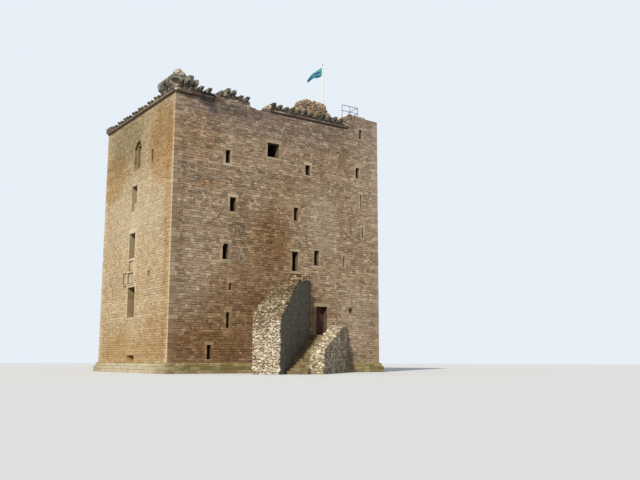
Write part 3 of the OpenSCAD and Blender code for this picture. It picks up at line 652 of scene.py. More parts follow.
FRONT_PATCHES = [
    on_front(6.4, 3.6, 5.4, 5.4, WARM, 0.85),
    on_front(8.2, 9.9, 2.5, 3.4, WARM, 0.95),
    on_front(7.2, 5.4, 1.5, 1.5, WARM, 0.50),
    on_front(1.0, 2.4, 2.0, 2.4, WARM, 0.55),
    on_front(2.4, 1.4, 4.2, 2.6, WARM, 0.85),
    on_front(11.4, 3.6, 3.6, 4.2, WARM, 0.60),
    on_front(5.9, 11.6, 0.9, 2.4, DAMP, 0.55),
    on_front(8.2, 11.2, 0.5, 2.6, DAMP, 0.55),
    on_front(0.35, 11.0, 0.70, 11.5, GREY_VEIL, 0.35, 0.5, 0.4),
    on_front(2.6, 20.4, 0.85, 1.0, STAIN, 0.90, 0.5, 0.5),
    on_front(3.1, 19.5, 0.45, 0.6, STAIN, 0.70, 0.6, 0.5),
    on_front(5.5, 19.9, 2.6, 0.5, GREY_VEIL, 0.80),
    on_front(4.7, 19.8, 1.4, 0.6, DAMP, 0.80),
    # Painted shade on the course under the corbels, near the left corner and on the right stretch
    on_front(1.8, HEAD - 0.08, 2.3, 0.36, BLACK_RIM_PAINTED_SHADE, 0.90, 0.3, 0.3),
    on_front(12.6, HEAD - 0.06, 3.8, 0.22, GREY_RIM_PAINTED_SHADE, 0.85, 0.3, 0.2),
    on_front(15.1, 17.3, 0.5, 0.8, DAMP, 0.85),
    on_front(9.5, 20.6, 14.0, 3.4, COOL, 1.0),
    on_front(18.0, 16.6, 2.4, 6.4, PALE, 0.12),
    on_front(5.4, 9.8, 1.0, 3.4, DAMP, 0.35),
    on_front(2.7, 13.9, 0.9, 0.35, RUSTY, 0.70),
    on_front(9.6, 8.6, 1.2, 2.4, RUSTY, 0.30),
    on_front(9.6, 13.4, 1.6, 2.0, RUSTY, 0.30),
    on_front(1.6, 17.4, 2.2, 2.2, RUSTY, 0.30),
    on_front(13.2, 12.0, 1.8, 3.4, LIME, 0.22),
    on_front(16.4, 4.4, 2.0, 3.4, LIME, 0.16),
    on_front(1.9, 8.6, 0.8, 5.0, LIME, 0.14),
]
print(len(FRONT_PATCHES), "patches on the front")


# %% Patches on the left side, the wall head and the ruins
def on_left(u, z, wide, tall, stain, strength, *edge, deep=1.5):
    """The same on the left side, from the corner that is at the left as one faces it."""
    return ((-HALF_W, HALF_D - u, z), (deep, wide, tall), stain, strength, *edge)


LEFT_PATCHES = [
    on_left(6.8, 20.8, 12.0, 6.0, OLD_WORK, 0.80, 0.35, 0.9, deep=3.0),
    on_left(11.6, 16.8, 2.4, 3.4, RUST_STONE, 0.70, 0.35, 1.2),
    on_left(2.0, 15.9, 2.8, 2.2, OCHRE, 0.65, 0.35, 1.0),
    on_left(4.6, 18.6, 3.8, 2.2, GREEN_GREY, 0.55),
    on_left(6.8, 10.6, 0.9, 5.0, LIME, 0.34),
    on_left(6.8, 3.2, 0.8, 2.2, LIME, 0.30),
    on_left(6.8, 12.4, 8.0, 3.4, LIME, 0.22),
    # Painted shade on the left side's course under the corbels
    on_left(6.8, HEAD - 0.06, 9.0, 0.24, BROWN_RIM_PAINTED_SHADE, 0.90, 0.3, 0.2),
    on_left(5.0, 1.4, 6.0, 2.6, OCHRE, 0.65),
    on_left(11.4, 2.4, 2.6, 2.8, OCHRE, 0.60),
    on_left(13.1, 9.0, 0.8, 12.0, OCHRE, 0.60),
    # A thin lime strip down the near corner, which also stands as a painted highlight on its edge
    on_left(13.64, 10.0, 0.13, 12.0, LIME, 0.45, 0.5, 0.1),
]
CORBEL_PATCHES = [
    on_front(12.0, 20.8, 5.6, 1.6, CORBEL_SHADE, 0.85, 0.3, 0.6, deep=2.0),
    on_left(3.0, 20.6, 5.0, 1.4, CORBEL_BROWN, 0.70, 0.3, 0.6, deep=2.0),
]
LUMP_PATCHES = [on_front(10.2, HEAD + 0.3, 2.0, 1.5, SLATE, 1.0, 0.3, 0.3, deep=3.0)]
# Centres and half sizes in the model's own axes
STUB_PATCHES = [
    ((0.0, -9.2, 7.6), (5.2, 5.2, 4.2), CORE_BROWN, 1.0),
    ((-2.8, -11.6, 5.2), (3.6, 3.6, 2.6), CORE_GREY, 1.0, 0.5, 0.8),
    ((-3.8, -12.6, 1.2), (3.0, 3.0, 2.8), CORE_LIME, 0.40),
]
# A lime film on the plinth's left side, which partly stands for painted light on that sunlit side
PLINTH_LIME_AND_PAINTED_LIGHT = [((-HALF_W - 0.3, 0, 0.5), (0.9, 8.5, 1.4), LIME, 0.7)]

# %% Make the finishes
# The turn of the broken curtain wall, whose stair side lies in shade
STUB_TURN = 223.0
shaded_way = math.radians(STUB_TURN - 180)
STAIR_SIDE = (math.sin(shaded_way), -math.cos(shaded_way), 0)
UP = (0, 0, 1)

FINISH = {
    "front": stone_material("front_stone", FRONT_STONES, FRONT_PATCHES, SPOTS, RAIN, spread=0.6),
    # The left side's finishes carry painted light as well as their own paler tone
    "left": stone_material("left_stone_and_painted_light", LEFT_STONES_AND_PAINTED_LIGHT, LEFT_PATCHES, [DARK_LICHEN], LEFT_RAIN, spread=0.33,
                           blotch=0.2),
    "quoin": stone_material("quoin_stone", FRONT_STONES[:3], FRONT_PATCHES, SPOTS, RAIN, spread=0.16),
    "dressed": stone_material("dressed_stone", DRESSED_STONES, FRONT_PATCHES[:4], [DARK_LICHEN], spread=0.2),
    "left_dressed": stone_material("left_dressed_stone_and_painted_light", LEFT_DRESSED_AND_PAINTED_LIGHT, LEFT_PATCHES, spread=0.12,
                                   blotch=0.16),
    "core": stone_material("core_stone", CORE_STONES, STUB_PATCHES, [DARK_LICHEN], spread=0.6),
    # The stair face's finish carries painted shade
    "stair_face": stone_material("stair_face_painted_shade", STAIR_FACE_PAINTED_SHADE, streak=STAIR_FACE_RAIN, spread=0.2),
    # Under the head level, the corbel nodes' moulded course has a brown darkened as painted shade
    "corbel": stone_material("corbel_stone", CORBEL_STONES, CORBEL_PATCHES, [CORBEL_LICHEN], tinted=False,
                             below=(HEAD - 0.01, CORBEL_UNDERSIDE_PAINTED_SHADE), facing=[(UP, CORBEL_UPPER, 0.75)]),
    "plinth": stone_material("plinth_stone", PLINTH_STONES, (), [PLINTH_LICHEN], RAIN, tinted=False),
    "plinth_blocks": stone_material("plinth_blocks", PLINTH_STONES, PLINTH_LIME_AND_PAINTED_LIGHT, [BLOCK_LICHEN], RAIN),
    "step": stone_material("step_earth", STEP_EARTH, (), SPOTS, RAIN, tinted=False),
    "step_blocks": stone_material("step_blocks", STEP_STONES, (), SPOTS, RAIN),
    "chimney": stone_material("chimney_stone", CHIMNEY_STONES, (), [CHIMNEY_LICHEN], spread=0.4),
    "lump": stone_material("parapet_stone", LUMP_STONES, LUMP_PATCHES, [DARK_LICHEN], spread=0.4),
    "paving": stone_material("paving_stone", PAVING_STONES, (), SPOTS),
    "mortar": stone_material("lime_mortar", MORTAR, FRONT_PATCHES, tinted=False, bump=0.02, inside=ROOM_PAINTED_SHADE_AND_SOOT),
    "left_mortar_and_painted_light": stone_material("left_mortar_and_painted_light", LEFT_MORTAR_AND_PAINTED_LIGHT, LEFT_PATCHES, tinted=False, bump=0.02,
                                  inside=ROOM_PAINTED_SHADE_AND_SOOT),
    # Painted shade: the core mortar's faces that look to the stair side are painted dark grey
    "core_bed": stone_material("core_mortar", CORE_MORTAR, tinted=False,
                               facing=[(STAIR_SIDE, CORE_PAINTED_SHADE, 1.0)]),
    "chimney_bed": stone_material("chimney_mortar", CHIMNEY_MORTAR, tinted=False),
    "panel_frame": stone_material("panel_frame", PANEL_FRAME, tinted=False),
    "panel_field": stone_material("panel_field", PANEL_FIELD, streak=RAIN, tinted=False),
    # Painted shade in the frames' hollows
    "panel_recess_painted_shade": stone_material("panel_recess_painted_shade", PANEL_RECESS_PAINTED_SHADE, tinted=False),
}
FINISH["right"] = FINISH["back"] = FINISH["front"]
CUT = {side: "left_dressed" if side == "left" else "dressed" for side in ORDER}
CORNER = {side: "left_dressed" if side == "left" else "quoin" for side in ORDER}
print(len(FINISH), "stone finishes")

# %% Finish the model's own nodes
for side in ORDER:
    bed = "left_mortar_and_painted_light" if side == "left" else "mortar"
    finish_nodes(FINISH[bed], *[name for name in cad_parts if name.startswith(side + "_wall")])
    finish_nodes(FINISH["corbel"], side + "_corbels")
floors = [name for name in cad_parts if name.endswith("_floor")]
finish_nodes(FINISH["mortar"], "stair_corner_lower", "stair_corner_upper", "roof_deck", *floors)
finish_nodes(FINISH["core_bed"], "curtain_stub", "stair_flank_wall")
finish_nodes(FINISH["chimney_bed"], "chimney_remains", "parapet_remains")
finish_nodes(FINISH["plinth"], "plinth")
finish_nodes(FINISH["step"], "entrance_steps")

# %% [markdown]
# ## The masonry of the walls
# Sandstone rubble brought to courses: each course has one height all round the keep, and its stones are as
# long as they came from the quarry. One image of a wall could be painted on, but the joints would vanish
# from the side. Here every stone is its own closed block, a few centimetres proud of a recessed joint.
# A mason starts from what is fixed: quoins at the corners and dressed stones round each opening. The
# rubble fills what is left.

# %% Bed joints, the same on all four sides
random_stone = random.Random(1425)


def course_lines(low, high, least=0.13, most=0.22):
    """Heights of the bed joints from low to high."""
    lines = [low]
    while high - lines[-1] > 2 * least:
        lines.append(min(lines[-1] + random_stone.uniform(least, most), high - least))
    return lines + [high]


def bands(lines, least):
    """Joins courses until each band has at least that height."""
    result, low = [], lines[0]
    for line in lines[1:]:
        if line - low >= least or line == lines[-1]:
            result.append((low, line))
            low = line
    return result


HEAD_COURSE = HEAD + 0.2
LINES = course_lines(PLINTH_TOP, WALL_TOP) + [HEAD] + course_lines(HEAD_COURSE, STAIR_HEAD[1].z)
print(len(LINES) - 1, "courses")

# %% [markdown]
# ## Where a face lies bare
# Stones could be laid everywhere and then cut away at the windows and corbels, but cutting thousands of
# blocks is slow and leaves slivers. Rays are quicker: where one meets the face at once and nothing stands
# on it, there is a place for a stone. Each course is probed every few centimetres at three heights, and
# bare places that follow each other make a run.

# %% Probe a face with rays
INWARD, OUTWARD, DOWN = Vector((0, 1, 0)), Vector((0, -1, 0)), Vector((0, 0, -1))
RAY_START, RAY_REACH, FAR = 0.01, 0.02, 40.0
PROBE_STEP, PROBE_INSET, BED_INSET = 0.05, 0.01, 0.03


def solid_tree(matrix, left_out=("window_surrounds",)):
    """Every solid's surface in a face's own frame, to cast rays at."""
    whole = bmesh.new()
    for name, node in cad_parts.items():
        if name not in left_out:
            whole.from_mesh(node.data)
    whole.transform(matrix.inverted())
    whole.normal_update()
    tree = BVHTree.FromBMesh(whole)
    whole.free()
    return tree


def is_bare(tree, u, z):
    """True where a ray meets the face at once and nothing stands on it."""
    start = Vector((u, -RAY_START, z))
    if tree.ray_cast(start, INWARD, RAY_REACH)[0] is None:
        return False
    outward = tree.ray_cast(start, OUTWARD, FAR)
    return outward[0] is None or outward[1].y > 0


def stretches(marks):
    """Joins marks (place, value) that follow each other with one value: (value, first place, last place)."""
    for value, group in itertools.groupby(marks, key=lambda mark: mark[1]):
        places = [mark[0] for mark in group]
        yield value, places[0], places[-1]


def bare_runs(tree, low, high, length):
    """Stretches (u0, u1) of a course where stones can be laid."""
    count = int(length / PROBE_STEP)
    heights = (low + BED_INSET, (low + high) / 2, high - BED_INSET)
    places = [PROBE_INSET + (length - 2 * PROBE_INSET) * index / count for index in range(count + 1)]
    marks = [(u, all(is_bare(tree, u, z) for z in heights)) for u in places]
    return [(first, last) for bare, first, last in stretches(marks) if bare]


def without(runs, taken, least=0.05):
    """The runs less the stretches that dressed stones have taken."""
    for g0, g1 in taken:
        parts = [part for a, b in runs for part in ((a, min(b, g0)), (max(a, g1), b))]
        runs = [(a, b) for a, b in parts if b - a > least]
    return runs


# %% [markdown]
# ## How a course is laid
# A rubble stone is a rough block with a face that was only knocked flat. Subdivision and displacement could
# shape it, but there are over twenty thousand of them, so each one stays simple: a cube whose front corners
# are moved out of true, with an inner face inset and pushed out by its own amount. Now and then two thin
# stones take the place of one.

# %% One stone and its tint
WOBBLE = 0.013


def stone_bmesh():
    bm = bmesh.new()
    bm.verts.layers.float_color.new("tint")
    return bm


def new_tint(tone=None):
    """Random numbers for a stone's colour. A course came out of one bed, so its stones share some tone."""
    own = random_stone.random()
    value = own if tone is None else 0.6 * own + 0.4 * tone
    return (random_stone.random(), value, random_stone.random(), 1.0)


def lay_stone(bm, low, high, wobble=WOBBLE, tint=None):
    """One block between two corners, its face out of true, with its own tint."""
    layer = bm.verts.layers.float_color["tint"]
    verts = bmesh.ops.create_cube(bm, size=1.0, matrix=box_matrix(low, high))["verts"]
    tint = tint or new_tint()
    for vert in verts:
        vert[layer] = tint
        if vert.co.y < (low[1] + high[1]) / 2:
            shift = [random_stone.uniform(-wobble, wobble) for axis in range(3)]
            vert.co += Vector((shift[0], shift[1] * 0.6, shift[2]))


# %% Lay a course
JOINT, BEDDED, TALL_COURSE = 0.010, 0.01, 0.17

# lengths: what stones may measure; proud: how far they stand out; halved: how often one is split in two
Masonry = namedtuple("Masonry", "lengths proud halved joint", defaults=(0.0, JOINT))
RUBBLE = Masonry((0.14, 0.18, 0.22, 0.27, 0.33, 0.40, 0.48), proud=(0.010, 0.042), halved=0.12)


def split_run(a, b, lengths):
    """Stones of mixed lengths that fill a run."""
    cuts = [a]
    while b - cuts[-1] > 1.3 * lengths[-1]:
        cuts.append(cuts[-1] + random_stone.choice(lengths) * random_stone.uniform(0.85, 1.15))
    if b - cuts[-1] > 0.75 * lengths[-1]:
        cuts.append((cuts[-1] + b) / 2 + random_stone.uniform(-0.06, 0.06))
    return zip(cuts, cuts[1:] + [b])


def lay_course(bm, runs, low, high, masonry):
    tone, joint = random_stone.random(), masonry.joint
    for a, b in runs:
        for u0, u1 in split_run(a, b, masonry.lengths):
            levels = [low, high]
            if high - low > TALL_COURSE and random_stone.random() < masonry.halved:
                levels.insert(1, low + (high - low) * random_stone.uniform(0.35, 0.65))
            for z0, z1 in zip(levels, levels[1:]):
                front = -random_stone.uniform(*masonry.proud)
                corners = (u0 + joint, front, z0 + joint), (u1 - joint, BEDDED, z1 - joint)
                lay_stone(bm, *corners, tint=new_tint(tone))


# %% Round the stones and fill a face
WORN_EDGE = 0.02


def dress_faces(bm):
    """Rounds the front of each block: an inner face pushed out by its own amount."""
    bm.normal_update()
    fronts = [f for f in bm.faces if f.normal.y < -0.8]
    bmesh.ops.inset_individual(bm, faces=fronts, thickness=WORN_EDGE, depth=0.0, use_even_offset=True)
    for face in fronts:
        for vert in face.verts:
            vert.co.y -= random_stone.uniform(0.004, 0.014)


def laid_face(matrix, length, lines, masonry, taken=(), left_out=("window_surrounds",)):
    """Courses of stones on one face. taken: rectangles (u0, z0, u1, z1) that dressed stones fill."""
    tree, stones = solid_tree(matrix, left_out), stone_bmesh()
    for low, high in zip(lines, lines[1:]):
        gaps = [(u0, u1) for u0, z0, u1, z1 in taken if min(z1, high) - max(z0, low) > 0.01]
        course = stone_bmesh()
        lay_course(course, without(bare_runs(tree, low, high, length), gaps), low, high, masonry)
        dress_faces(course)
        add_to(stones, course)
    stones.transform(matrix)
    return stones


# %% [markdown]
# ## Quoins and dressed stones
# Corners and openings take the wear, so masons cut those stones square. Quoins lie long side one way and
# then the other. Each window gets jambs in long and short stones, a lintel and a sill. They are blocks
# with a small bevel, and their heights keep to the courses, so that the rubble meets them cleanly.

# %% Quoins
LONG, SHORT, CUT_HEIGHT, QUOIN_JOINT = 0.66, 0.36, 0.26, 0.006


def cut_block(bm, low, high, chamfer=0.012, wobble=0.003, material=0):
    """A squared block with its edges taken off."""
    block = stone_bmesh()
    lay_stone(block, low, high, wobble)
    edges = block.edges[:]
    bmesh.ops.bevel(block, geom=edges, offset=chamfer, segments=1, profile=0.5, affect="EDGES", material=-1)
    for face in block.faces:
        face.material_index = material
    add_to(bm, block)


def quoin_stones(top):
    """Quoins of the corner where a side starts, in that side's own frame, and what they take up."""
    bm, stones = stone_bmesh(), []
    lines = [line for line in LINES if line <= top + 0.001]
    for index, (low, high) in enumerate(bands(lines, CUT_HEIGHT)):
        along, into = (LONG, SHORT) if index % 2 else (SHORT, LONG)
        along, into = along * random_stone.uniform(0.9, 1.1), into * random_stone.uniform(0.9, 1.1)
        proud = random_stone.uniform(0.026, 0.034)
        corner = (along - QUOIN_JOINT, into - QUOIN_JOINT, high - QUOIN_JOINT)
        cut_block(bm, (-proud, -proud, low + QUOIN_JOINT), corner)
        stones.append((low, high, along, into))
    return bm, stones


quoins, taken = {}, {side: [] for side in ORDER}
for index, side in enumerate(ORDER):
    top = STAIR_HEAD[1].z - 0.15 if side == "right" else WALL_TOP
    quoins[side], stones = quoin_stones(top)
    before = ORDER[index - 1]
    for low, high, along, into in stones:
        taken[side].append((-0.1, low, along, high))
        taken[before].append((LENGTHS[before] - into, low, LENGTHS[before] + 0.1, high))
print({side: len(rows) for side, rows in taken.items()}, "places taken by quoins")

# %% Dress one opening
CUT_JOINT, CUT_INTO = 0.004, 0.02

# Widths of the short and long jamb stones, the least height of the lintel and of the sill, and how far
# they all stand out
Margin = namedtuple("Margin", "narrow wide head foot proud", defaults=(0.042,))
WINDOW, SLIT = Margin(0.15, 0.24, 0.2, 0.12), Margin(0.1, 0.2, 0.14, 0.08)
ROUND_HEADED, DOORWAY = Margin(0.15, 0.26, 0.2, 0.1, 0.03), Margin(0.16, 0.3, 0.2, 0)


def margin_stone(bm, u0, z0, u1, z1, proud, material=0):
    corners = (u0, -proud, z0 + CUT_JOINT), (u1, CUT_INTO, z1 - CUT_JOINT)
    cut_block(bm, *corners, material=material)


def dress_opening(bm, rect, margin):
    """Jambs, lintel and sill of one opening. Returns the rectangles they take up."""
    (u0, z0, u1, z1), wide, proud = rect, margin.wide, margin.proud
    top = next(line for line in LINES if line >= z1 + margin.head)
    low = max(line for line in LINES + [z0] if line <= max(z0 - margin.foot, PLINTH_TOP))
    steps = bands([z0] + [line for line in LINES if z0 + 0.1 < line < z1 - 0.1] + [z1], CUT_HEIGHT)
    rows = []
    for index, (a, b) in enumerate(steps):
        ends = index in (0, len(steps) - 1)
        left, right = [wide if ends or (index + turn) % 2 else margin.narrow for turn in (0, 1)]
        margin_stone(bm, u0 - left, a, u0, b, proud)
        margin_stone(bm, u1, a, u1 + right, b, proud)
        rows.append((u0 - left - CUT_JOINT, a, u1 + right + CUT_JOINT, b))
    for a, b in ((z1, top), (low, z0)):
        if b - a > 0.05:
            margin_stone(bm, u0 - wide, a, u1 + wide, b, proud, material=1)
            rows.append((u0 - wide - CUT_JOINT, a, u1 + wide + CUT_JOINT, b))
    return rows


def arch_head(bm, rect, depth=0.2, proud=0.046, count=7):
    """Wedge stones round a half-round head, laid over the lintel's place."""
    u0, z0, u1, z1 = rect
    radius = (u1 - u0) / 2
    centre = Matrix.Translation(((u0 + u1) / 2, 0, z1 - radius))
    half = math.pi * (radius + depth / 2) / count / 2 - 0.006
    for index in range(count):
        block = stone_bmesh()
        lay_stone(block, (-half, -proud, radius), (half, CUT_INTO, radius + depth), 0.003)
        turn = math.pi * (index + 0.5) / count - math.pi / 2
        block.transform(centre @ Matrix.Rotation(turn, 4, "Y"))
        add_to(bm, block)


# %% Dress the openings of the four sides
# Sill courses that stand out under three windows of the front: middle, top, width and height
SILLS = ((10.37, 7.69, 1.96, 0.08), (4.35, 8.26, 0.76, 0.12), (10.55, 11.80, 0.76, 0.12))
SILL_PROUD = 0.075


def margin_for(opening):
    """The margin that an opening gets. Small holes and the ragged window get none."""
    width, height = opening.u1 - opening.u0, opening.z1 - opening.z0
    if opening.corners == 4 and width > 0.75 and height > 0.8:
        return WINDOW
    if opening.corners == 4 and height > 0.45:
        return SLIT
    if opening.corners > 8 and abs(width - 0.48) < 0.01:
        return ROUND_HEADED
    return None


margins = {side: stone_bmesh() for side in ORDER}
for side in ORDER:
    for opening in openings[side]:
        margin = margin_for(opening)
        if margin:
            taken[side] += dress_opening(margins[side], opening[:4], margin)
        if margin is ROUND_HEADED:
            arch_head(margins[side], opening[:4])

door_left, door_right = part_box("front_wall_hall_left")[1].x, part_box("front_wall_hall_right")[0].x
door_foot, door_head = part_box("entrance_steps")[1].z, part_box("front_wall_over_door")[0].z
door_rect = (door_left + HALF_W, door_foot, door_right + HALF_W, door_head)
taken["front"] += dress_opening(margins["front"], door_rect, DOORWAY)
print("door", door_rect)

for middle, top, width, height in SILLS:
    low, high = (middle - width / 2, -SILL_PROUD, top - height), (middle + width / 2, CUT_INTO, top)
    cut_block(margins["front"], low, high, material=1)

# %% [markdown]
# ## The rubble of the four sides
# With the quoins and margins in place, the rubble fills the courses between them. The left side's stones
# stand out less than the front's, as they do on the real wall. Each side's rubble is one piece, so that it
# can be found by name, and its stones share one finish that reads each stone's own tint.

# %% Lay the rubble of the four sides
LEFT_RUBBLE = RUBBLE._replace(proud=(0.006, 0.022))

for side in ORDER:
    matrix = side_matrix(side)
    masonry = LEFT_RUBBLE if side == "left" else RUBBLE
    rubble = laid_face(matrix, LENGTHS[side], LINES, masonry, taken[side])
    # A quoin shows on two sides, and takes its finish from each, so its faces on the left side carry that
    # side's paler finish with its painted light
    quoins[side].normal_update()
    for face in quoins[side].faces:
        face.material_index = 1 if face.normal.x < -0.7 else 0
    for bm in (margins[side], quoins[side]):
        bm.transform(matrix)
    corner, before = FINISH[CORNER[side]], FINISH[CORNER[ORDER[ORDER.index(side) - 1]]]
    piece_from(rubble, side + "_rubble", [FINISH[side]])
    piece_from(margins[side], side + "_margins", [corner, FINISH[CUT[side]]])
    piece_from(quoins[side], side + "_quoins", [corner, before])

# %% The stair head's face over the deck
matrix = Matrix.Translation((STAIR_HEAD[1].x, STAIR_HEAD[1].y, 0)) @ turned(180)
head_lines = [line for line in LINES if line > HEAD - 0.001]
stones = laid_face(matrix, STAIR_HEAD[1].x - STAIR_HEAD[0].x, head_lines, RUBBLE)
piece_from(stones, "stair_head_back", [FINISH["front"]])

# %% [markdown]
# ## Mortar over the model's own joints
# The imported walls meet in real, open joints, and daylight from the rooms would show through them between
# the stones. Mortar fills them on a real wall. Here a strip a few millimetres thick covers each joint
# wherever both of its sides lie bare.

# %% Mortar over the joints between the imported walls
SEAM_LOOK, SEAM_HALF, SEAM_PROUD = 0.03, 0.015, 0.004


def seam_strips(bm, tree, seam, low, high, upright):
    """Strips over one joint, upright at a place along the face or level at a height."""
    def at(along, across):
        return (across, along) if upright else (along, across)

    steps = [low + PROBE_STEP * k for k in range(int((high - low) / PROBE_STEP) + 1)]
    beside = (seam - SEAM_LOOK, seam + SEAM_LOOK)
    marks = [(step, all(is_bare(tree, *at(step, place)) for place in beside)) for step in steps]
    for bare, first, last in stretches(marks):
        if bare:
            (u0, z0), (u1, z1) = at(first, seam - SEAM_HALF), at(last + 0.01, seam + SEAM_HALF)
            matrix = box_matrix((u0, -SEAM_PROUD, z0), (u1, 0.02, z1))
            bmesh.ops.create_cube(bm, size=1.0, matrix=matrix)


def seam_mortar(side):
    """The mortar over all joints of a side."""
    matrix = side_matrix(side)
    tree, bm = solid_tree(matrix), bmesh.new()
    for node in side_nodes(side):
        corners = [matrix.inverted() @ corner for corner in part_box(node)]
        (u0, u1), (z0, z1) = [sorted(c[axis] for c in corners) for axis in (0, 2)]
        for u in (u0, u1):
            if 0.1 < u < LENGTHS[side] - 0.1:
                seam_strips(bm, tree, u, z0, z1, upright=True)
        if PLINTH_TOP + 0.1 < z0 < HEAD:
            seam_strips(bm, tree, z0, u0, u1, upright=False)
    bm.transform(matrix)
    return bm


for side in ORDER:
    finish = FINISH["left_mortar_and_painted_light" if side == "left" else "mortar"]
    piece_from(seam_mortar(side), side + "_joint_mortar", [finish])

# %% [markdown]
# ## Stones of the moulded course
# Under the corbels a projecting course runs round the keep. The model has its profile in one length, but
# masons set such a course in short blocks. Blocks now cover its upright face, each a little further out or
# in than the next. Rays from outside tell where the course is broken off.

# %% Blocks of the moulded course
COURSE_PROUD, COURSE_LENGTHS = 0.15, (0.3, 0.42, 0.55, 0.7)


def course_stones(tree, length):
    """Blocks over the course's fillet, laid wherever a ray from outside meets it."""
    bm = stone_bmesh()
    for a, b in split_run(-COURSE_PROUD, length + COURSE_PROUD, COURSE_LENGTHS):
        starts = [Vector((u, -1.0, HEAD - 0.06)) for u in (a + 0.02, b - 0.02)]
        hits = [tree.ray_cast(start, INWARD, 2.0)[0] for start in starts]
        if all(hit is not None and hit.y < -0.1 for hit in hits):
            front = -COURSE_PROUD - random_stone.uniform(0.004, 0.016)
            lay_stone(bm, (a + 0.006, front, HEAD - 0.124), (b - 0.006, 0.0, HEAD + 0.004), wobble=0.005)
    return bm


for side in ORDER:
    matrix = side_matrix(side)
    course = course_stones(solid_tree(matrix), LENGTHS[side])
    course.transform(matrix)
    piece_from(course, side + "_course_stones", [FINISH[side]])

# %% [markdown]
# ## Stones left on the wall head
# The parapet is gone and its lowest stones remain in places, one or two on each other. They are laid where
# a ray from above meets the wall head at its own level or a course above it, with random heights that keep
# the skyline ragged.

# %% Stones on the wall head
LEVEL_STEP, LEVEL_INTO, LEVEL_NEAR, LEAST_STRETCH = 0.04, 0.25, 0.02, 0.08
HEAD_LENGTHS, HEAD_HEIGHTS = (0.2, 0.3, 0.4), (0.05, 0.1, 0.16, 0.22, 0.3)


def level_runs(tree, length, levels):
    """Stretches (u0, u1, z) of the wall head, seen from above, that lie at one of some levels. The last
    one, up to the far corner, stays bare."""
    marks = []
    for index in range(int(length / LEVEL_STEP)):
        u = 0.02 + index * LEVEL_STEP
        hit = tree.ray_cast(Vector((u, LEVEL_INTO, FAR)), DOWN, 60.0)[0]
        near = [z for z in levels if hit is not None and abs(hit.z - z) < LEVEL_NEAR]
        marks.append((u, near[0] if near else None))
    found = list(stretches(marks))[:-1]
    return [(u0, u1, level) for level, u0, u1 in found if level is not None and u1 - u0 > LEAST_STRETCH]


def head_stones(tree, length):
    """One or two stones on each other along every stretch."""
    bm = stone_bmesh()
    for u0, u1, base in level_runs(tree, length, (HEAD, HEAD_COURSE)):
        for a, b in split_run(u0 - 0.01, u1 + 0.01, HEAD_LENGTHS):
            high = random_stone.choice(HEAD_HEIGHTS)
            levels = [base - 0.01, base + high]
            if high > 0.2:
                levels.insert(1, base + high * 0.5)
            for z0, z1 in zip(levels, levels[1:]):
                front = random_stone.uniform(-0.01, 0.07)
                back = front + random_stone.uniform(0.3, 0.5)
                lay_stone(bm, (a + 0.008, front, z0), (b - 0.008, back, z1 - 0.006), wobble=0.02)
    return bm


for side in ORDER:
    matrix = side_matrix(side)
    stones = head_stones(solid_tree(matrix, ("window_surrounds", "flag", "flagpole")), LENGTHS[side])
    stones.transform(matrix)
    piece_from(stones, side + "_head_stones", [FINISH[side]])

# %% [markdown]
# ## Panels on the left side
# Three stone panels stand over each other in moulded frames. A moulding is one face inset again and again,
# each ring moved in or out, so that the frame, its hollow and the plain field are one closed block. The
# hollow is painted dark as shade.

# %% Moulded frames round plain panels
# Each ring of a frame: width, outward move and material
RINGS = ((0.03, 0.008, 0), (0.03, 0.0, 0), (0.015, -0.02, 1), (0.07, -0.05, 1))
COVER, COVER_FRONT = 0.004, 0.008


def moulded_panel(bm, low, high):
    """A block whose front steps in to a plain field."""
    block = bmesh.new()
    bmesh.ops.create_cube(block, size=1.0, matrix=box_matrix(low, high))
    block.normal_update()
    field = next(f for f in block.faces if f.normal.y < -0.9)
    for width, move, material in RINGS:
        values = {"thickness": width, "depth": move, "use_even_offset": True}
        for ring in bmesh.ops.inset_region(block, faces=[field], **values)["faces"]:
            ring.material_index = material
    field.material_index = 2
    add_to(bm, block)


matrix = side_matrix("left")
solid = local_bmesh("armorial_panels", matrix)
mouldings = bmesh.new()
for group in edge_loops(solid.edges):
    low, high = extent({v for e in group for v in e.verts})
    front = low - Vector((COVER, COVER_FRONT, COVER))
    moulded_panel(mouldings, front, (high.x + COVER, BEDDED, high.z + COVER))
solid.free()
mouldings.transform(matrix)
finishes = [FINISH[name] for name in ("panel_frame", "panel_recess_painted_shade", "panel_field")]
panels = piece_from(mouldings, "panel_mouldings", finishes)
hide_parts("armorial_panels")

# %% [markdown]
# ## The broken wall and the stair's flank
# The stub of the curtain wall shows its two faces laid in courses, and between them its core: small
# stones thrown in lime. The faces are laid as those of the keep are, with the same rays finding the
# ragged top. The face beside the stair is much smoother than the others, and darker with painted shade.

# %% Faces of the stub and of the flank wall
STUB_AT = (2.40, -HALF_D, 0.0)
STUB_THICK, STUB_LONG, STUB_HIGH = 2.13, 8.9, 7.7
STAIR_WIDE, FLANK_THICK, FLANK_LONG = 1.6, 0.9, 6.7
# How far the flank wall's two faces run back towards the keep
FLANK_INNER_BACK, FLANK_OUTER_BACK = 1.7, 2.7
CORE_RUBBLE = RUBBLE._replace(proud=(0.012, 0.04))
SMOOTH_RUBBLE = RUBBLE._replace(proud=(0.003, 0.008), joint=0.004)
stub_frame = Matrix.Translation(STUB_AT) @ turned(STUB_TURN)


def stub_face(x, y, turn=0):
    """The frame of a face that starts at a place of the stub's own frame."""
    return stub_frame @ Matrix.Translation((x, y, 0)) @ turned(turn)


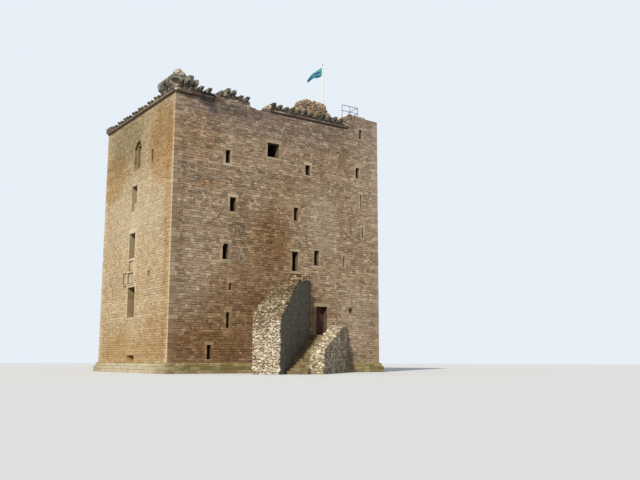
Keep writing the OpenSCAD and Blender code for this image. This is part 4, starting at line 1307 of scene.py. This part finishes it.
# Each face: its frame, its length, its finish and its masonry
FACES = {
    "stub_stair_face": (stub_face(STUB_LONG, 0, 180), STUB_LONG, "stair_face", SMOOTH_RUBBLE),
    "stub_outer_face": (stub_face(0, -STUB_THICK), STUB_LONG, "core", CORE_RUBBLE),
    "flank_stair_face": (stub_face(-FLANK_INNER_BACK, STAIR_WIDE), FLANK_LONG + FLANK_INNER_BACK, "core",
                         CORE_RUBBLE),
    "flank_outer_face": (stub_face(FLANK_LONG, STAIR_WIDE + FLANK_THICK, 180),
                         FLANK_LONG + FLANK_OUTER_BACK, "core", CORE_RUBBLE),
}
stub_lines = course_lines(0.0, STUB_HIGH, 0.15, 0.25)
for name, (matrix, length, finish, masonry) in FACES.items():
    piece_from(laid_face(matrix, length, stub_lines, masonry), name, [FINISH[finish]])

# %% [markdown]
# ## The steps
# Each step is a row of two or three worn blocks. Their places are read from the flight's own treads, so a
# change of the flight's rise or width is followed. Each block stands a little out and up by its own wear.

# %% Stones of the steps
STEP_LENGTHS, STEP_JOINT, STEP_UNDER = (0.45, 0.55, 0.7), 0.007, 0.02
Step = namedtuple("Step", "level low high")


def read_steps():
    """Level and two corners of each tread, from the lowest step up."""
    flight = local_bmesh("entrance_steps", stub_frame)
    treads = {}
    for face in flight.faces:
        if face.normal.z > 0.9:
            level = round(face.calc_center_median().z, 2)
            treads.setdefault(level, []).extend(face.verts)
    steps = [Step(level, *extent(treads[level])) for level in sorted(treads)]
    flight.free()
    return steps


def step_stones(steps):
    """Worn blocks side by side on each step, a little proud of the flight that carries them."""
    bm, below = stone_bmesh(), 0.0
    for step, behind in zip(steps, steps[1:]):
        for left, right in split_run(step.low.y, step.high.y, STEP_LENGTHS):
            out, wear = random_stone.uniform(0.006, 0.016), random_stone.uniform(0.002, 0.012)
            foot = (behind.high.x - STEP_UNDER, left + STEP_JOINT, below + 0.005)
            nose = (step.high.x + out, right - STEP_JOINT, step.level + wear)
            cut_block(bm, foot, nose, chamfer=0.014)
        below = step.level
    bm.transform(stub_frame)
    return bm


steps = read_steps()
print("steps", len(steps), "tread", round(steps[0].high.x - steps[1].high.x, 3), "m")
piece_from(step_stones(steps), "step_stones", [FINISH["step_blocks"]])

# %% [markdown]
# ## Core stones
# The core is rubble and river stones thrown into lime between the two faces. Where the wall broke off they
# stick out, set close together. A particle system or instances would be quick, but the shared part needs
# plain meshes, so sixteen stone shapes are copied into one piece at random places, turned, stretched and
# bedded a quarter deep. The places keep a spacing, found with a grid of cells as wide as that spacing.

# %% Shapes of core stones
def make_pebble(seed, blocky):
    """A stone about one unit across, from a sphere of twenty faces; a low blocky squares it."""
    chance = random.Random(seed)
    bm = stone_bmesh()
    bmesh.ops.create_icosphere(bm, subdivisions=1, radius=0.5)
    for vert in bm.verts:
        squared = [math.copysign(abs(value * 2) ** blocky, value) / 2 for value in vert.co]
        vert.co = Vector(squared) * chance.uniform(0.78, 1.1)
    mesh = bpy.data.meshes.new("pebble")
    bm.to_mesh(mesh)
    bm.free()
    return mesh


PEBBLES = [make_pebble(seed, 0.55) for seed in range(9)]
BLOCKS = [make_pebble(seed, 0.3) for seed in range(9, 16)]
print(len(PEBBLES), "round and", len(BLOCKS), "square stone shapes")


# %% Find places for core stones
def scatter(node, wanted, spacing, tries, chance):
    """Random places and normals on a node's faces, none closer together than the spacing."""
    bm = bmesh.new()
    bm.from_mesh(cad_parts[node].data)
    bmesh.ops.triangulate(bm, faces=bm.faces)
    bm.normal_update()
    faces = [f for f in bm.faces if wanted(f)]
    areas = [f.calc_area() for f in faces]
    places, cells = [], {}
    for face in chance.choices(faces, areas, k=tries):
        a, b = sorted((chance.random(), chance.random()))
        corners = [v.co for v in face.verts]
        place = corners[0] * a + corners[1] * (b - a) + corners[2] * (1 - b)
        cell = tuple(int(value // spacing) for value in place)
        around = itertools.product(*[(way - 1, way, way + 1) for way in cell])
        near = [other for key in around for other in cells.get(key, ())]
        if all((other - place).length > spacing for other in near):
            cells.setdefault(cell, []).append(place)
            places.append((place, face.normal.copy()))
    bm.free()
    return places


# %% Bed core stones
SUNK, BATCH = 0.25, 80
STRETCHED = ((0.9, 1.5), (0.8, 1.2), (0.8, 1.25))


def pebble_matrix(place, normal, size, flat, chance):
    """A random size, stretch and turn, and a place with part of the stone in the wall."""
    whole = size * chance.uniform(0.7, 1.25)
    scale = [whole * chance.uniform(low, high) for low, high in STRETCHED]
    turn = Matrix.Rotation(chance.uniform(0, 6.28), 4, "Z")
    turn = turn @ Matrix.Rotation(chance.uniform(-0.6, 0.6), 4, "X")
    shape = turn @ Matrix.Diagonal((scale[0], scale[1], scale[2] * flat, 1))
    return Matrix.Translation(place - normal * size * SUNK) @ shape


def bedded_stones(places, size, chance, shapes, flat=0.8):
    """Stones at all places. They are added in batches, because a small bmesh grows faster."""
    total = stone_bmesh()
    for start in range(0, len(places), BATCH):
        batch = stone_bmesh()
        layer = batch.verts.layers.float_color["tint"]
        for place, normal in places[start:start + BATCH]:
            before = len(batch.verts)
            batch.from_mesh(chance.choice(shapes))
            batch.verts.ensure_lookup_table()
            shape = pebble_matrix(place, normal, size, flat, chance)
            tint = (chance.random(), chance.random(), chance.random(), 1.0)
            for vert in batch.verts[before:]:
                vert.co = shape @ vert.co
                vert.co.z = max(vert.co.z, 0.0)
                vert[layer] = tint
        add_to(total, batch)
    return total


# %% Core stones of the broken walls
CORE_SPACING, CORE_SIZE = 0.105, 1.75
across = (stub_frame.to_3x3() @ Vector((0, 1, 0))).normalized()


def is_broken(face):
    """Faces that aren't one of the wall's two long sides, nor its foot."""
    return abs(face.normal.dot(across)) < 0.9 and face.normal.z > -0.5


for node, seed, tries in (("curtain_stub", 12, 46000), ("stair_flank_wall", 16, 20000)):
    chance = random.Random(seed)
    places = scatter(node, is_broken, CORE_SPACING, tries, chance)
    places = [(place, normal) for place, normal in places if place.y < -HALF_D - 0.15]
    stones = bedded_stones(places, CORE_SPACING * CORE_SIZE, chance, PEBBLES)
    piece_from(stones, node + "_core_stones", [FINISH["core"]])

# %% [markdown]
# ## Rubble at the wall head
# The lump at the near corner and the chimney are heaps of bedded stones. They get larger, squarer stones of
# their own, close over all their faces, and so does the slope in which the stair head broke off.

# %% Stones of the parapet, the chimney and the stair head
HEAP_SIZE, HEAP_FLAT = 1.85, 0.7


def is_high(face):
    return face.normal.z > -0.5 and face.calc_center_median().z > HEAD_COURSE


def is_broken_side(face):
    """The slope that the stair head broke off in."""
    middle = face.calc_center_median()
    return face.normal.x < -0.2 and middle.z > HEAD and middle.y < -2


# Each heap: its node, its finish, which of its faces, the spacing of its stones and how many tries
HEAPS = (
    ("parapet_remains", "lump", is_high, 0.13, 14000),
    ("chimney_remains", "chimney", is_high, 0.17, 14000),
    ("stair_corner_upper", "front", is_broken_side, 0.12, 9000),
)
for node, finish, wanted, spacing, tries in HEAPS:
    chance = random.Random(spacing)
    places = scatter(node, wanted, spacing, tries, chance)
    stones = bedded_stones(places, spacing * HEAP_SIZE, chance, BLOCKS, HEAP_FLAT)
    piece_from(stones, node + "_stones", [FINISH[finish]])

# %% [markdown]
# ## Paved roof and wall tops
# The roof deck and the tops of the walls are paved with slabs. They are laid by the same mason's helper,
# on its back: the courses run across the keep and the rays point down.

# %% Slabs on the deck and the wall tops
SLAB_DEPTHS = (0.42, 0.6)
DECK_SLABS = Masonry((0.45, 0.6, 0.8, 1.0), proud=(0.008, 0.02))
STAIR_SLABS = Masonry((0.45, 0.6, 0.8), proud=(0.006, 0.014))


def flat_matrix(height):
    """A face's frame for a level surface: x along the front, z to the back, and y down into it."""
    return Matrix(((1, 0, 0, -HALF_W), (0, 0, 1, -HALF_D), (0, -1, 0, height), (0, 0, 0, 1)))


rows = course_lines(0.05, 2 * HALF_D - 0.05, *SLAB_DEPTHS)
paving = laid_face(flat_matrix(HEAD), 2 * HALF_W, rows, DECK_SLABS, left_out=("window_surrounds", "flag"))
piece_from(paving, "roof_paving", [FINISH["paving"]])

rows, matrix = course_lines(0.05, 3.5, *SLAB_DEPTHS), flat_matrix(STAIR_HEAD[1].z)
paving = laid_face(matrix, 2 * HALF_W, rows, STAIR_SLABS, left_out=("guard_rail",))
piece_from(paving, "stair_head_paving", [FINISH["paving"]])

# %% [markdown]
# ## Plinth stones
# The plinth is a footing and a course above it, set back, with its top edge splayed so that rain runs
# off. Its long squared blocks stand a few millimetres proud of the CAD node that carries them.

# %% Squared blocks on the plinth
FOOTING_OUT, COURSE_OUT, FOOTING_MIDDLE, FOOTING_TOP, SPLAY = 0.30, 0.18, 0.24, 0.48, 0.06
PLINTH_STAGES = (
    (FOOTING_OUT, [0.0, FOOTING_MIDDLE, FOOTING_TOP]),
    (COURSE_OUT, [FOOTING_TOP, PLINTH_TOP - SPLAY]),
)
PLINTH_MASONRY = Masonry((0.5, 0.65, 0.8, 1.0), proud=(0.004, 0.014))

for side in ORDER:
    blocks = stone_bmesh()
    for out, lines in PLINTH_STAGES:
        matrix = side_matrix(side) @ Matrix.Translation((-out, -out, 0))
        add_to(blocks, laid_face(matrix, LENGTHS[side] + 2 * out, lines, PLINTH_MASONRY))
    piece_from(blocks, side + "_plinth_blocks", [FINISH["plinth_blocks"]])

# %% [markdown]
# ## The oak door
# A door of such a keep is two layers of oak nailed together: upright planks outside, lying boards inside,
# so that neither can be split along its grain. Iron straps cross the inner side and rose-headed nails hold
# the layers. The planks are blocks with their edges eased; the wood grain runs along each plank.

# %% Wood and iron
def oak_material(name, dark, light, along):
    """Weathered oak. along: 2 for upright grain, 0 for lying grain."""
    material, tree, shader = new_material(name)
    place = add_node(tree, "ShaderNodeTexCoord").outputs["Object"]
    stretch = [38.0, 38.0, 38.0]
    stretch[along] = 1.6
    drawn = vector_node(tree, "MULTIPLY", place, stretch)
    fibres = noise_node(tree, drawn, scale=1.0, detail=6.0, roughness=0.65)
    broad = noise_node(tree, place, scale=2.2)
    level = math_node(tree, "MULTIPLY_ADD", fibres, 0.55, math_node(tree, "MULTIPLY", broad, 0.25))
    level = math_node(tree, "MULTIPLY_ADD", tint_parts(tree)[0], 0.22, level)
    color = mix_node(tree, "MIX", range_node(tree, level, 0.3, 0.75), dark, light)
    tree.links.new(color, shader.inputs["Base Color"])
    tree.links.new(range_node(tree, fibres, 0.2, 0.8, 0.55, 0.85), shader.inputs["Roughness"])
    bump_into(tree, shader, fibres, 0.5, 0.004)
    return material


def metal_material(name, base, worn, rust, amount, roughness, metallic):
    """Painted or forged metal with rust that breaks through."""
    material, tree, shader = new_material(name)
    place = add_node(tree, "ShaderNodeTexCoord").outputs["Object"]
    grime = noise_node(tree, place, scale=6.0, detail=4.0, roughness=0.6)
    spots = use_group(tree, LICHEN, {"Vector": place, "Amount": amount, "Scale": 5.0})[0]
    color = mix_node(tree, "MIX", range_node(tree, grime, 0.35, 0.7), base, worn)
    color = mix_node(tree, "MIX", spots, color, rust)
    tree.links.new(color, shader.inputs["Base Color"])
    tree.links.new(range_node(tree, grime, 0.2, 0.8, roughness, roughness + 0.25), shader.inputs["Roughness"])
    shader.inputs["Metallic"].default_value = metallic
    bump_into(tree, shader, math_node(tree, "ADD", grime, spots), 0.4, 0.003)
    return material


# %% Finishes of the door, the rail and the pole
DARK_OAK, LIGHT_OAK, DARK_BOARD, LIGHT_BOARD = shades((56, 31, 21), (98, 56, 37), (70, 44, 30), (120, 78, 52))
IRON, RUST = shades((52, 50, 48), (74, 70, 66)), srgb(122, 72, 42)
BLUE_PAINT = shades((66, 82, 114), (54, 66, 90))
WHITE_PAINT = shades((238, 238, 234), (214, 212, 204), (168, 150, 126))
BRONZE = shades((110, 62, 48), (86, 50, 40), (70, 84, 66))
FINISH["oak_upright"] = oak_material("oak_upright", DARK_OAK, LIGHT_OAK, 2)
FINISH["oak_lying"] = oak_material("oak_lying", DARK_BOARD, LIGHT_BOARD, 0)
FINISH["iron"] = metal_material("forged_iron", *IRON, RUST, amount=0.35, roughness=0.5, metallic=0.7)
FINISH["rail"] = metal_material("rail_paint", *BLUE_PAINT, RUST, amount=0.28, roughness=0.45, metallic=0.0)
FINISH["pole"] = metal_material("pole_paint", *WHITE_PAINT, amount=0.12, roughness=0.35, metallic=0.0)
FINISH["finial"] = metal_material("finial_bronze", *BRONZE, amount=0.3, roughness=0.4, metallic=0.6)
finish_nodes(FINISH["iron"], "door_straps", "door_pintles")
finish_nodes(FINISH["rail"], "guard_rail")
finish_nodes(FINISH["pole"], "flagpole")
print(len(FINISH), "finishes in all")

# %% Planks and boards
PLANKS, BOARDS, PLANK_THICK, PLANK_JOINT = 6, 9, 0.04, 0.0015
door_low, door_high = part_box("door_leaf")
middle_y = door_low.y + PLANK_THICK


def oak_planks(name, axis, count, y0, y1, finish):
    """One layer of the door: boards side by side along an axis."""
    bm = stone_bmesh()
    span = (door_high[axis] - door_low[axis]) / count
    for index in range(count):
        low, high = Vector(door_low), Vector(door_high)
        low.y, high.y = y0, y1
        low[axis] = door_low[axis] + index * span + PLANK_JOINT
        high[axis] = door_low[axis] + (index + 1) * span - PLANK_JOINT
        cut_block(bm, low, high, chamfer=0.004, wobble=0.0)
    return piece_from(bm, name, [FINISH[finish]], "door")


planks = oak_planks("door_planks", 0, PLANKS, door_low.y, middle_y, "oak_upright")
oak_planks("door_boards", 2, BOARDS, middle_y, door_high.y, "oak_lying")
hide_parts("door_leaf")

# %% [markdown]
# ## Nails and the pull ring
# Rose-headed nails go through the planks in rows, two to a plank. Each head is a low cone of eight sides,
# which reads as hammered from a step away. The ring could be a torus from the menu; spun from a small
# circle in the bmesh of its plate, the two are one piece.

# %% Nails
NAIL_ROWS, NAIL_INSET, NAIL_PLACES = 8, 0.16, (0.28, 0.72)
NAIL_FOOT, NAIL_TIP, NAIL_HEIGHT = 0.014, 0.005, 0.012
door_size = door_high - door_low
nails = bmesh.new()
for row, plank, share in itertools.product(range(NAIL_ROWS), range(PLANKS), NAIL_PLACES):
    x = door_low.x + (plank + share) * door_size.x / PLANKS
    z = door_low.z + NAIL_INSET + row * (door_size.z - 2 * NAIL_INSET) / (NAIL_ROWS - 1)
    head = Matrix.Translation((x, door_low.y - 0.004, z)) @ turned(90, "X")
    sizes = {"radius1": NAIL_FOOT, "radius2": NAIL_TIP, "depth": NAIL_HEIGHT}
    bmesh.ops.create_cone(nails, cap_ends=True, segments=8, matrix=head, **sizes)
piece_from(nails, "door_nails", [FINISH["iron"]], "door")

# %% Ring and plate to pull the door to
RING_RADIUS, RING_THICK = 0.05, 0.007
PLATE_LOW, PLATE_HIGH = Vector((-0.035, 0.004, -0.07)), Vector((0.035, 0.014, 0.07))
ring_at = Vector((door_high.x - 0.16, door_low.y - 0.012, door_low.z + 1.05))
ring_middle = Vector((0, -0.008, -0.04))
pull = bmesh.new()
bmesh.ops.create_cube(pull, size=1.0, matrix=box_matrix(ring_at + PLATE_LOW, ring_at + PLATE_HIGH))
edges = pull.edges[:]
bmesh.ops.bevel(pull, geom=edges, offset=0.003, segments=1, profile=0.5, affect="EDGES", material=-1)
profile_at = Matrix.Translation(ring_at + Vector((RING_RADIUS, ring_middle.y, ring_middle.z)))
profile = bmesh.ops.create_circle(pull, segments=8, radius=RING_THICK, matrix=profile_at)["verts"]
profile += dict.fromkeys(e for v in profile for e in v.link_edges)
bmesh.ops.spin(pull, geom=profile, cent=ring_at + ring_middle, axis=(0, 1, 0), angle=math.tau, steps=24,
               use_merge=True)
bmesh.ops.recalc_face_normals(pull, faces=pull.faces)
piece_from(pull, "door_ring", [FINISH["iron"]], "door")

# %% [markdown]
# ## The pole's finial
# A small ball on a collar keeps rain out of the hollow pole. It is a sphere and a low cone with smooth
# sides; the cone's two caps, which have many corners, stay flat.

# %% The pole's finial
low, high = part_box("flagpole")
pole_x, pole_y = (low.x + high.x) / 2, (low.y + high.y) / 2
ball_at = Vector((pole_x, pole_y, high.z - 0.046))
ball, collar = Matrix.Translation(ball_at), Matrix.Translation(ball_at - Vector((0, 0, 0.055)))
finial = bmesh.new()
bmesh.ops.create_uvsphere(finial, u_segments=24, v_segments=14, radius=0.049, matrix=ball)
bmesh.ops.create_cone(finial, cap_ends=True, segments=24, radius1=0.056, radius2=0.03, depth=0.05,
                      matrix=collar)
for face in finial.faces:
    face.smooth = len(face.verts) < 5
piece_from(finial, "pole_finial", [FINISH["finial"]])

# %% [markdown]
# ## The flag
# The flag hangs from its hoist in a light wind: its fly sinks and swings in slow waves. It is a grid that
# is bent along the fly, with a thin solidify. Cloth folds but hardly stretches, so the waves are deeper
# where an edge has a shorter way to go: each thread along the fly then keeps within 6 % of its flat length.

# %% Cloth
def cloth_material():
    material, tree, shader = new_material("flag_cloth")
    coordinates = add_node(tree, "ShaderNodeTexCoord").outputs
    broad = noise_node(tree, coordinates["Object"], scale=3.0)
    threads = vector_node(tree, "MULTIPLY", coordinates["UV"], (900.0, 450.0, 1.0))
    weave = add_node(tree, "ShaderNodeTexChecker", {"Vector": threads, "Scale": 1.0}).outputs["Fac"]
    teal, pale_teal = shades((54, 130, 150), (90, 162, 182))
    color = mix_node(tree, "MIX", range_node(tree, broad, 0.3, 0.7), teal, pale_teal)
    tree.links.new(color, shader.inputs["Base Color"])
    tree.links.new(range_node(tree, broad, 0.2, 0.8, 0.7, 0.85), shader.inputs["Roughness"])
    shader.inputs["Sheen Weight"].default_value = 0.25
    bump_into(tree, shader, weave, 0.2, 0.0008)
    return material


# %% How the flag hangs
FLAG_HOIST, FLAG_FLY, CLOTH_THICK = 0.9, 1.83, 0.004
FLAG_TURN = math.radians(144)
FLAG_WAY, FLAG_ACROSS = Vector((math.cos(FLAG_TURN), math.sin(FLAG_TURN), 0)), Vector((0.588, 0.809, 0))
FLAG_START, FOLDS, SWINGS = 0.062, 2.4, 1.25
POLE = Vector((pole_x, pole_y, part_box("flag")[1].z))
# How far the hung cloth reaches, and how its two edges drop along the way
REACH = 1.30
UPPER_EDGE = ((0, 0.0), (0.25, 0.22), (0.53, 0.47), (0.78, 0.72), (0.9, 0.98), (1, 1.20))
LOWER_EDGE = ((0, 0.76), (0.28, 0.94), (0.53, 1.11), (0.75, 1.28), (1, 1.38))


def straight_drop(edge, share):
    (s0, d0), (s1, d1) = next((a, b) for a, b in zip(edge, edge[1:]) if share <= b[0] + 1e-6)
    return d0 + (d1 - d0) * (share - s0) / (s1 - s0)


def drop_at(edge, share):
    """How far an edge has dropped at a share of the way out, with its corners smoothed."""
    reach = min(0.14, share, 1 - share)
    return sum(straight_drop(edge, share + reach * step / 3) for step in range(-3, 4)) / 7


def flag_point(along, down):
    """A point of the hung cloth. Where the edges draw together, the folds between them get deeper."""
    upper, lower = drop_at(UPPER_EDGE, along), drop_at(LOWER_EDGE, along)
    width = lower - upper
    steep = math.sqrt(2 * max((FLAG_HOIST / width) ** 2 - 1, 0))
    depth = steep * width / (math.tau * FOLDS) * min(1, along * 5)
    fold = depth * math.sin(math.tau * FOLDS * down + 2.2 * along)
    fold += (0.03 + 0.18 * down) * math.sin(math.tau * SWINGS * along)
    out = FLAG_WAY * (FLAG_START + REACH * along)
    return POLE + out + FLAG_ACROSS * fold - Vector((0, 0, upper + width * down))


# %% Hang the flag
cloth = bmesh.new()
bmesh.ops.create_grid(cloth, x_segments=60, y_segments=48, size=0.5, calc_uvs=True)
for vert in cloth.verts:
    vert.co = flag_point(0.5 - vert.co.x, 0.5 - vert.co.y)
for face in cloth.faces:
    face.smooth = True
flag = piece_from(cloth, "hung_flag", [cloth_material()])
thick = flag.modifiers.new("thickness", "SOLIDIFY")
thick.thickness, thick.offset = CLOTH_THICK, 0.0
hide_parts("flag")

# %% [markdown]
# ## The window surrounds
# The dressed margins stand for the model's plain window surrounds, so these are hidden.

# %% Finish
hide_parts("window_surrounds")
